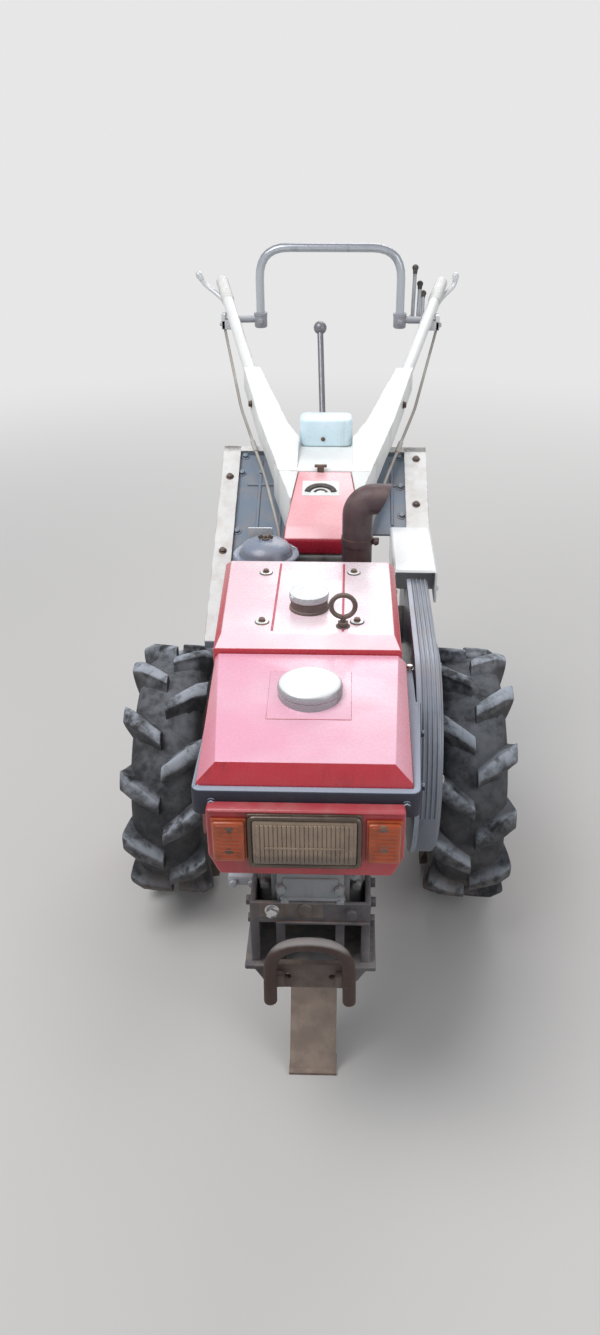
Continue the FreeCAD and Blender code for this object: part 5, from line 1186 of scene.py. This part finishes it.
@dataclass
class Controls:
    """Gear lever, squeeze levers, small hand levers and the control rods."""

    def gear_lever(self) -> None:
        """Make the lever with its knob and rubber boot."""
        form = Form("gear_lever_skin")
        start = at(-10, 563.3, 936)
        form.pipe([start, start + Vector((0, 0.030, 0.004)), at(-22, 757, 1182)], 0.0079, 0.022, 5)
        form.ball(at(-22, 757, 1182), 0.0172)
        form.done(STEEL, replaces=["gear_lever"])
        boot = Form("gear_boot")
        boot.lathe(Axis.Y, at(-10, 0, 936), tuple((radius, y / 1000) for radius, y in (
            (0.021, 563), (0.020, 566), (0.014, 568), (0.016, 571), (0.011, 573), (0.013, 576), (0.0082, 579), (0.0082, 563))), 32)
        boot.done(BLACK)

    def squeeze_lever(self, name: str, side: int, out: float) -> None:
        """Make one squeeze lever, its pivot ear and its end cap."""
        form = Form("steering_lever_%s_skin" % name)
        _, end, run = Handles.line(side)
        pivot = end - run * 0.190
        under = Vector((0, 0, -0.036))
        route = [
            pivot + under, end - run * 0.040 + under,
            end - run * 0.0148 + Vector((side * (0.02035 + 0.5 * out), 0, -0.00185)),
            end - run * 0.0111 + Vector((side * out, 0, 0.0222)),
        ]
        form.pipe(route, 0.0070, 0.036, 5)
        for share, radius in ((0.0, 0.0098), (0.16, 0.0096), (0.32, 0.0091), (0.48, 0.0085)):
            form.ball(route[-1].lerp(route[-2], share), radius)
        for inner, outer, top in ((-5.8, 29.8, -17), (17.4, 29.8, -0.3)):
            low, high = sorted((side * inner, side * outer))
            corner = Vector((high, 16.8, top)) / 1000
            form.block(pivot + Vector((low / 1000, -0.0168, -0.0438)), pivot + corner, 0.003, 2)
        form.bolt(Vector((side, 0, 0)), pivot + Vector((side * 0.0298, 0, -0.030)), 0.012, 0.005, 0.008)
        form.done(LEVER, replaces=["steering_lever_" + name])

    def hand_levers(self) -> None:
        """Make the bracket with three small levers and dark knobs."""
        start, _, run = Handles.line(1)
        seat = start + run * 0.337
        form = Form("control_levers_skin")
        form.block(seat + Vector((-0.062, -0.017, -0.024)), seat + Vector((-0.016, 0.017, -0.010)), 0.003, 2)
        form.pipe([seat + Vector((-0.020, 0.0, -0.017)), seat + Vector((0.0, 0.0, -0.019))], 0.0068, sides=4)
        knobs = Form("control_knobs")
        for across, back, up in ((-0.048, 0.050, 0.118), (-0.032, 0.062, 0.072), (-0.020, 0.084, 0.042)):
            foot = seat + Vector((across, 0, -0.014))
            tip = seat + Vector((across + 0.006, back, up))
            form.pipe([foot, foot.lerp(tip, 0.4) + Vector((0, 0.002, 0)), tip], 0.0054, 0.02, 4)
            knobs.ball(tip, 0.0092)
            knobs.drum((foot - tip).normalized(), tip, 0.0075, 0.018, 20, 0.0012, 0.0060)
        form.row(Axis.Z, [seat + Vector((x, 0.010, -0.010)) for x in (-0.052, -0.022)], 0.008, 0.004)
        form.done(SOCKET, replaces=["control_levers"])
        knobs.done(BLACK)

    def rods(self) -> None:
        """Make the control rods with their turnbuckles and forks."""
        form = Form("control_rods_skin")
        for side in (-1, 1):
            start, end, run = Handles.line(side)
            top = end - run * 0.190 + Vector((side * 0.021, -0.0057, -0.0475))
            route = [top, start + Vector((side * 0.029, -0.032, -0.075)), at(side * 150, 430, 880), at(side * 112, 300, 800),
                     at(side * 104, 262, 760), at(side * 76, 258, 760)]
            form.pipe(route, 0.0039, 0.03, 3)
            way = (route[1] - route[2]).normalized()
            middle = route[1].lerp(route[2], 0.55)
            form.drum(way, middle - way * 0.022, 0.0068, 0.044, 6, 0.001)
            form.drum(Vector((side, 0, 0)), route[-1] - Vector((side * 0.0008, 0, 0)), 0.009, 0.006, 24, 0.001)
        form.done(ROD, replaces=["control_rods"])

    def build(self) -> None:
        """Make all the controls."""
        self.gear_lever()
        self.squeeze_lever("left", -1, 0.070)
        self.squeeze_lever("right", 1, 0.042)
        self.hand_levers()
        self.rods()


@dataclass
class SplashGuard:
    """Sloping splash guard: pressed leaves with cream rails along their outer edges."""

    def _on(self, x: float, y: float, lift: float = 5.0) -> Vector:
        """A place on the slope, raised in millimetres."""
        return at(x, y, 620 + (y - 20) * 0.5 + lift)

    def leaves(self) -> None:
        """Make the sheet with pressed ribs and bolts."""
        form = Form("splash_guard_skin")
        form.from_node("splash_guard", 0.0015, 2, 0.5)
        for side, front in ((-1, 60), (1, 350)):
            for x in (112, 168):
                form.pipe([self._on(side * x, front, 5.0), self._on(side * x, 545, 5.0)], 0.004, sides=3)
            form.pipe([self._on(side * 84, 470, 5.0), self._on(side * 200, 470, 5.0)], 0.004, sides=3)
        up = Vector((0, -0.447, 0.894))
        places = [(-217, 507), (-167, 508), (-212, 560), (190, 467), (188, 560), (192, 380), (-217, 330), (-217, 160), (-120, 240)]
        form.row(up, [self._on(x, y) for x, y in places], 0.013, 0.006, 0.011)
        form.done(GUARD, replaces=["splash_guard"], angle=32.0)

    def rails(self) -> None:
        """Make the cream caps of the outer rails and of the upper edge."""
        form = Form("guard_rails")
        slope = Matrix.Rotation(math.atan(0.5), 3, "X")
        table = (
            # outer edge, inner edge of the rail, inner edge of the lip, front
            (-268, -224, -75, 21), (258, 202, 75, 327),
        )
        for outer, inner, root, front in table:
            across = (outer + inner) / 2
            low, high = self._on(across, front, 17.2), self._on(across, 579, 17.2)
            middle = (low + high) / 2
            size = Vector((abs(outer - inner) / 1000 + 0.0008, (high - low).length, 0.0016))
            form.block(middle - size / 2, middle + size / 2, 0.0006, 1, slope)
            rear = self._on((outer + root) / 2, 571.5, 17.2)
            edge = Vector((abs(outer - root) / 1000, 0.019, 0.0016))
            form.block(rear - edge / 2, rear + edge / 2, 0.0006, 1, slope)
        form.done(GUARD_CREAM)
        bolts = Form("guard_rail_bolts")
        up = Vector((0, -0.447, 0.894))
        bolts.row(up, [self._on(x, y, 18.0) for x, y in ((232, 540), (228, 400), (-246, 480), (-246, 260))], 0.013, 0.006, 0.010)
        bolts.done(RUST)

    def build(self) -> None:
        """Make leaves and rails."""
        self.leaves()
        self.rails()


@dataclass
class Engine:
    """Single lying cylinder with its crankcase, head, injection pump and lines."""

    def block(self) -> None:
        """Make the crankcase with its side covers, ribs and bolts."""
        form = Form("engine_block_skin")
        form.from_node("engine_block", 0.008, 3, 0.4)
        cover = [(-400, 440), (-70, 440), (-56, 470), (-56, 640), (-110, 690), (-330, 690), (-400, 610)]
        form.plate(Axis.X, [tuple(at(0, y, z).yz) for y, z in cover], -0.176, -0.163, 0.004, 3)
        form.row(Vector((-1, 0, 0)), [at(-176, y, z) for y, z in (
            (-388, 456), (-300, 452), (-200, 452), (-84, 456), (-70, 560), (-72, 636), (-120, 676), (-220, 678), (-322, 676), (-385, 600), (-390, 530))],
            0.014, 0.007)
        form.drum(Vector((-1, 0, 0)), at(-172, -150, 560), 0.040, 0.018, 40, 0.003)
        form.drum(Vector((-1, 0, 0)), at(-186, -150, 560), 0.019, 0.010, 32, 0.002)
        form.drum(Vector((-1, 0, 0)), at(-172, -320, 500), 0.026, 0.012, 32, 0.002)
        for z in range(470, 706, 26):
            for side in (-1, 1):
                form.block(at(side * 95 - 4, -655, z), at(side * 95 + 4, -436, z + 7), 0.0015)
        form.drum(Axis.Z, at(-135, -60, 712), 0.016, 0.030, 24, 0.002)
        form.done(CASTING, replaces=["engine_block"], angle=32.0)

    def head(self) -> None:
        """Make the cylinder head with its rocker cover and nuts."""
        form = Form("cylinder_head_skin")
        form.from_node("cylinder_head", 0.005, 3, 0.4)
        form.block(at(-88, -676, 462), at(88, -661, 611), 0.004, 2)
        form.row(Vector((0, -1, 0)), [at(x, -676, z) for x in (-80, 80) for z in (478, 540, 598)], 0.015, 0.010, 0.010)
        form.done(CASTING, replaces=["cylinder_head"], angle=32.0)
        cover = Form("rocker_cover")
        cover.block(at(-58, -709, 520), at(58, -699, 592), 0.004, 3)
        cover.block(at(-48, -712, 534), at(48, -706, 578), 0.003, 2)
        cover.row(Vector((0, -1, 0)), [at(x, -709, z) for x, z in ((-50, 556), (50, 556))], 0.015, 0.008, 0.010)
        cover.done(PALE_CASTING)

    def lines(self) -> None:
        """Make the injector with its pipe, the pump, the fuel hose and the water drain."""
        metal = Form("injection_parts")
        metal.drum(Vector((0, -1, 0)), at(76, -670, 574), 0.011, 0.028, 6, 0.0015)
        metal.pipe([at(76, -696, 574), at(76, -706, 590), at(108, -680, 602), at(112, -500, 600)], 0.0032, 0.02, 3)
        metal.block(at(98, -560, 560), at(128, -440, 640), 0.004, 2)
        metal.row(Axis.Z, [at(113, y, 640) for y in (-530, -500, -470)], 0.014, 0.010)
        metal.drum(Vector((-1, 0, 0)), at(-94, -610, 640), 0.020, 0.020, 32, 0.003)
        metal.drum(Axis.Z, at(-118, -610, 590), 0.021, 0.052, 32, 0.006)
        metal.done(PALE_CASTING)
        bracket = Form("drain_bracket")
        bracket.block(at(-150, -650, 503), at(-96, -626, 527), 0.006, 3)
        bracket.row(Vector((0, -1, 0)), [at(x, -650, 514) for x in (-140, -106)], 0.013, 0.007, 0.009)
        bracket.done(SOCKET)
        hose = Form("fuel_hose")
        hose.pipe([at(-118, -610, 640), at(-118, -610, 668), at(-140, -560, 690), at(-140, -540, 716)], 0.0048, 0.02, 3)
        hose.pipe([at(-112, -592, 600), at(-112, -520, 560), at(-112, -460, 540), at(-120, -440, 520)], 0.0048, 0.02, 3)
        hose.done(BLACK)

    def build(self) -> None:
        """Make block, head and lines."""
        self.block()
        self.head()
        self.lines()


@dataclass
class Gearbox:
    """Gearbox casting with its covers, axle housings, rails and rear hitch."""

    def case(self) -> None:
        """Make the casting with side covers, ribs, plugs and flange bolts."""
        form = Form("transmission_skin")
        form.from_node("transmission_case", 0.007, 3, 0.4)
        for side in (-1, 1):
            out = Vector((side, 0, 0))
            form.drum(out, at(side * 74, 20, 300), 0.074, 0.012, 48, 0.003)
            form.row(out, [at(side * 86, 20, 300) + Vector((0, math.cos(a), math.sin(a))) * 0.065
                           for a in (math.radians(60 * step + 20) for step in range(6))], 0.012, 0.007)
            form.drum(out, at(side * 74, 110, 480), 0.046, 0.008, 40, 0.003)
            form.row(out, [at(side * 82, 110, 480) + Vector((0, math.cos(a), math.sin(a))) * 0.036
                           for a in (math.radians(90 * step + 45) for step in range(4))], 0.011, 0.006)
            form.row(-out, [at(side * 212, 0, 300) + Vector((0, math.cos(a), math.sin(a))) * 0.056
                            for a in (math.radians(60 * step + 15) for step in range(6))], 0.013, 0.008)
            for z in (280, 330, 380):
                form.block(at(side * 75 - 4, -78, z), at(side * 75 + 4, 138, z + 6), 0.0015)
        form.bolt(Vector((0, 1, 0)), at(30, 150, 246), 0.017, 0.009, 0.013)
        form.drum(Vector((0, 1, 0)), at(0, 150, 440), 0.018, 0.010, 32, 0.002)
        form.done(CASTING, replaces=["transmission_case"], angle=32.0)

    def rails(self) -> None:
        """Make both engine rails with their bolts."""
        for name, side in (("left", -1), ("right", 1)):
            form = Form("engine_rail_%s_skin" % name)
            form.from_node("engine_rail_" + name, 0.004, 3, 0.4)
            out = Vector((side, 0, 0))
            form.row(out, [at(side * 105, y, 390) for y in (-560, -400, -380, -120, -100)], 0.016, 0.008, 0.012)
            form.done(BAND, replaces=["engine_rail_" + name], angle=32.0)

    def hitch(self) -> None:
        """Make the rear hitch with its bolts."""
        form = Form("rear_hitch_skin")
        form.from_node("rear_hitch", 0.003, 2, 0.4)
        form.row(Vector((0, 1, 0)), [at(x, 165, z) for x in (-34, 34) for z in (270, 370)], 0.015, 0.008, 0.012)
        form.done(CASTING, replaces=["rear_hitch"], angle=32.0)

    def build(self) -> None:
        """Make case, rails and hitch."""
        self.case()
        self.rails()
        self.hitch()


@dataclass
class FrontEnd:
    """Front frame, hitch plate and the bent bumper bar."""

    def frame(self) -> None:
        """Make the front frame with gussets and bolts."""
        form = Form("front_frame_skin")
        form.from_node("front_frame", 0.0025, 2, 0.4)
        for side in (-1, 1):
            out = Vector((side, 0, 0))
            form.row(out, [at(side * 105, y, z) for y, z in ((-680, 500), (-630, 500), (-660, 440), (-630, 404))],
                     0.016, 0.008, 0.012)
        form.block(at(-60, -724, 484), at(104, -719, 489), 0.0015, 2)
        form.row(Vector((0, -1, 0)), [at(72, -720, 512)], 0.018, 0.009, 0.012)
        form.done(FRAME_GREY, replaces=["front_frame"], angle=32.0)
        bright = Form("front_frame_bolt")
        bright.bolt(Vector((0, -1, 0)), at(-66, -720, 514), 0.018, 0.010, 0.013)
        bright.done(BRIGHT)
        wear = Form("beam_wear")
        wear.block(at(-88, -720.6, 498), at(22, -719, 529), 0.0007, 2)
        wear.drum(Vector((0, -1, 0)), at(-8, -720, 516), 0.013, 0.004, 28, 0.0015)
        wear.done(BEAM_WEAR)
        marks = Form("front_casting")
        marks.block(at(-52, -716, 530), at(60, -700, 536), 0.003, 2)
        marks.row(Vector((0, -1, 0)), [at(x, -709, 528) for x in (-44, 52)], 0.014, 0.009, 0.010)
        marks.done(PALE_CASTING)

    def hitch(self) -> None:
        """Make the hitch plate and the bumper bar."""
        form = Form("front_hitch_skin")
        form.from_node("front_hitch", 0.0025, 2, 0.5)
        form.done(RUST, replaces=["front_hitch"], angle=32.0)
        bar = Form("bumper_skin")
        bar.pipe([at(-70, -760, 336), at(-68, -760, 474), at(68, -760, 474), at(70, -760, 336)], 0.0119, 0.066, 6)
        bar.done(BUMPER, replaces=["front_bumper"])
        lugs = Form("bumper_lugs")
        for side in (-1, 1):
            inner, outer = sorted((side * 45, side * 68))
            lugs.block(at(inner, -759, 367), at(outer, -742.1, 393), 0.003, 2)
        lugs.done(RUST)

    def build(self) -> None:
        """Make frame and hitch."""
        self.frame()
        self.hitch()


@dataclass
class Stand:
    """Folding front stand and the bracket that carries it."""

    def build(self) -> None:
        """Make bracket and leg."""
        bracket = Form("stand_bracket_skin")
        bracket.from_node("stand_bracket", 0.002, 2, 0.4)
        for side in (-1, 1):
            bracket.bolt(Vector((side, 0, 0)), at(side * 66, -450, 300), 0.017, 0.005)
        bracket.done(RUST, replaces=["stand_bracket"], angle=32.0)
        leg = Form("stand_leg_skin")
        leg.from_node("stand_leg", 0.002, 2, 0.4)
        leg.done(STAND_STEEL, STAND, ["stand_leg"], 32.0)


@dataclass
class Studio:
    """Plain floor, soft light and the camera at the photograph's place."""

    axle_pixel: float = 321.0
    picture_wide: float = 600.0
    picture_high: float = 1335.0
    focal_pixels: float = 1040.0
    distance: float = 2.068
    height: float = 1.778
    pitch: float = 30.0
    yaw: float = 1.5
    floor_grey: Colour = (0.58, 0.565, 0.55)
    far: Colour = (0.80, 0.80, 0.80)

    def camera(self) -> None:
        """Set the camera."""
        data = bpy.data.cameras.new("camera")
        sensor = 36.0
        data.sensor_width = sensor
        data.lens = sensor * self.focal_pixels / self.picture_high
        data.shift_x = (self.picture_wide / 2 - self.axle_pixel) / self.picture_high
        turn = math.radians(self.yaw)
        item = bpy.data.objects.new("camera", data)
        item.location = (self.distance * math.sin(turn), AXLE.y - self.distance * math.cos(turn), self.height)
        item.rotation_euler = Euler((math.radians(90 - self.pitch), 0, turn))
        bpy.context.scene.collection.objects.link(item)
        bpy.context.scene.camera = item

    def floor(self) -> None:
        """Lay the floor, which fades into the backdrop's colour."""
        part = bmesh.new()
        bmesh.ops.create_grid(part, x_segments=4, y_segments=4, size=60.0)
        mesh = bpy.data.meshes.new("floor")
        part.to_mesh(mesh)
        part.free()
        shop = Shop("Pale floor")
        away = shop.node("ShaderNodeVectorMath", {"operation": "LENGTH"}, {0: shop.place}, "Value")
        fade = away.step(1.4, 5.0)
        black = (0.0, 0.0, 0.0)
        links = {"Base Color": shop.mix(fade, self.floor_grey, black),
                 "Emission Color": shop.mix(fade, black, self.far)}
        plain = {"Roughness": 0.9, "Specular IOR Level": 0.0, "Emission Strength": 1.0}
        mesh.materials.append(shop.shade(plain, links))
        made = bpy.data.objects.new("floor", mesh)
        bpy.context.scene.collection.objects.link(made)

    def lamp(self, name: str, place: Sequence[float], size: float, power: float) -> None:
        """Hang one soft square lamp that looks at the tractor."""
        data = bpy.data.lights.new(name, "AREA")
        data.shape = "SQUARE"
        data.size = size
        data.energy = power
        item = bpy.data.objects.new(name, data)
        item.location = place
        aim = Vector((0, 0, 0.6)) - Vector(place)
        item.rotation_euler = aim.to_track_quat("-Z", "Y").to_euler()
        bpy.context.scene.collection.objects.link(item)

    def world(self) -> None:
        """Give the world a plain pale light, seen by the camera as the backdrop's colour."""
        world = bpy.data.worlds.new("studio")
        world.use_nodes = True
        tree = world.node_tree
        back = tree.nodes["Background"]
        path = tree.nodes.new("ShaderNodeLightPath")
        mix = tree.nodes.new("ShaderNodeMix")
        mix.data_type = "RGBA"
        mix.inputs[6].default_value = (0.40, 0.415, 0.44, 1.0)
        mix.inputs[7].default_value = (*self.far, 1.0)
        tree.links.new(path.outputs["Is Camera Ray"], mix.inputs[0])
        tree.links.new(mix.outputs[2], back.inputs["Color"])
        bpy.context.scene.world = world
        bpy.context.scene.view_settings.view_transform = "Standard"

    def build(self) -> None:
        """Set camera, floor and light."""
        self.camera()
        self.floor()
        self.world()
        self.lamp("key", (-1.6, -1.2, 4.2), 2.6, 118.0)
        self.lamp("fill", (3.0, -2.4, 2.4), 2.4, 38.0)
        self.lamp("back", (0.8, 3.4, 3.4), 2.6, 70.0)


def write_sizes() -> None:
    """Define a helper that lists a box's corners as numbers; nothing is written."""
    def plain(box: Sequence[Sequence[float]]) -> list[list[float]]:
        """A box as lists of numbers."""
        return [[float(part) for part in corner] for corner in box]


ASSEMBLIES = (
    Wheel("left", -1), Wheel("right", 1), Tank(), Radiator(), Lamps(), Breathing(), BeltDrive(),
    Handles(), Controls(), SplashGuard(), Engine(), Gearbox(), FrontEnd(), Stand(),
)


def main() -> None:
    """Dress the frame and build every sub-assembly in order."""
    logging.basicConfig(level=logging.INFO, format="%(message)s")
    PAINTS.dress_nodes()
    Studio().build()
    for assembly in ASSEMBLIES:
        assembly.build()
        LOG.info("%s finished", type(assembly).__name__)
    write_sizes()


if __name__ == "__main__":
    main()
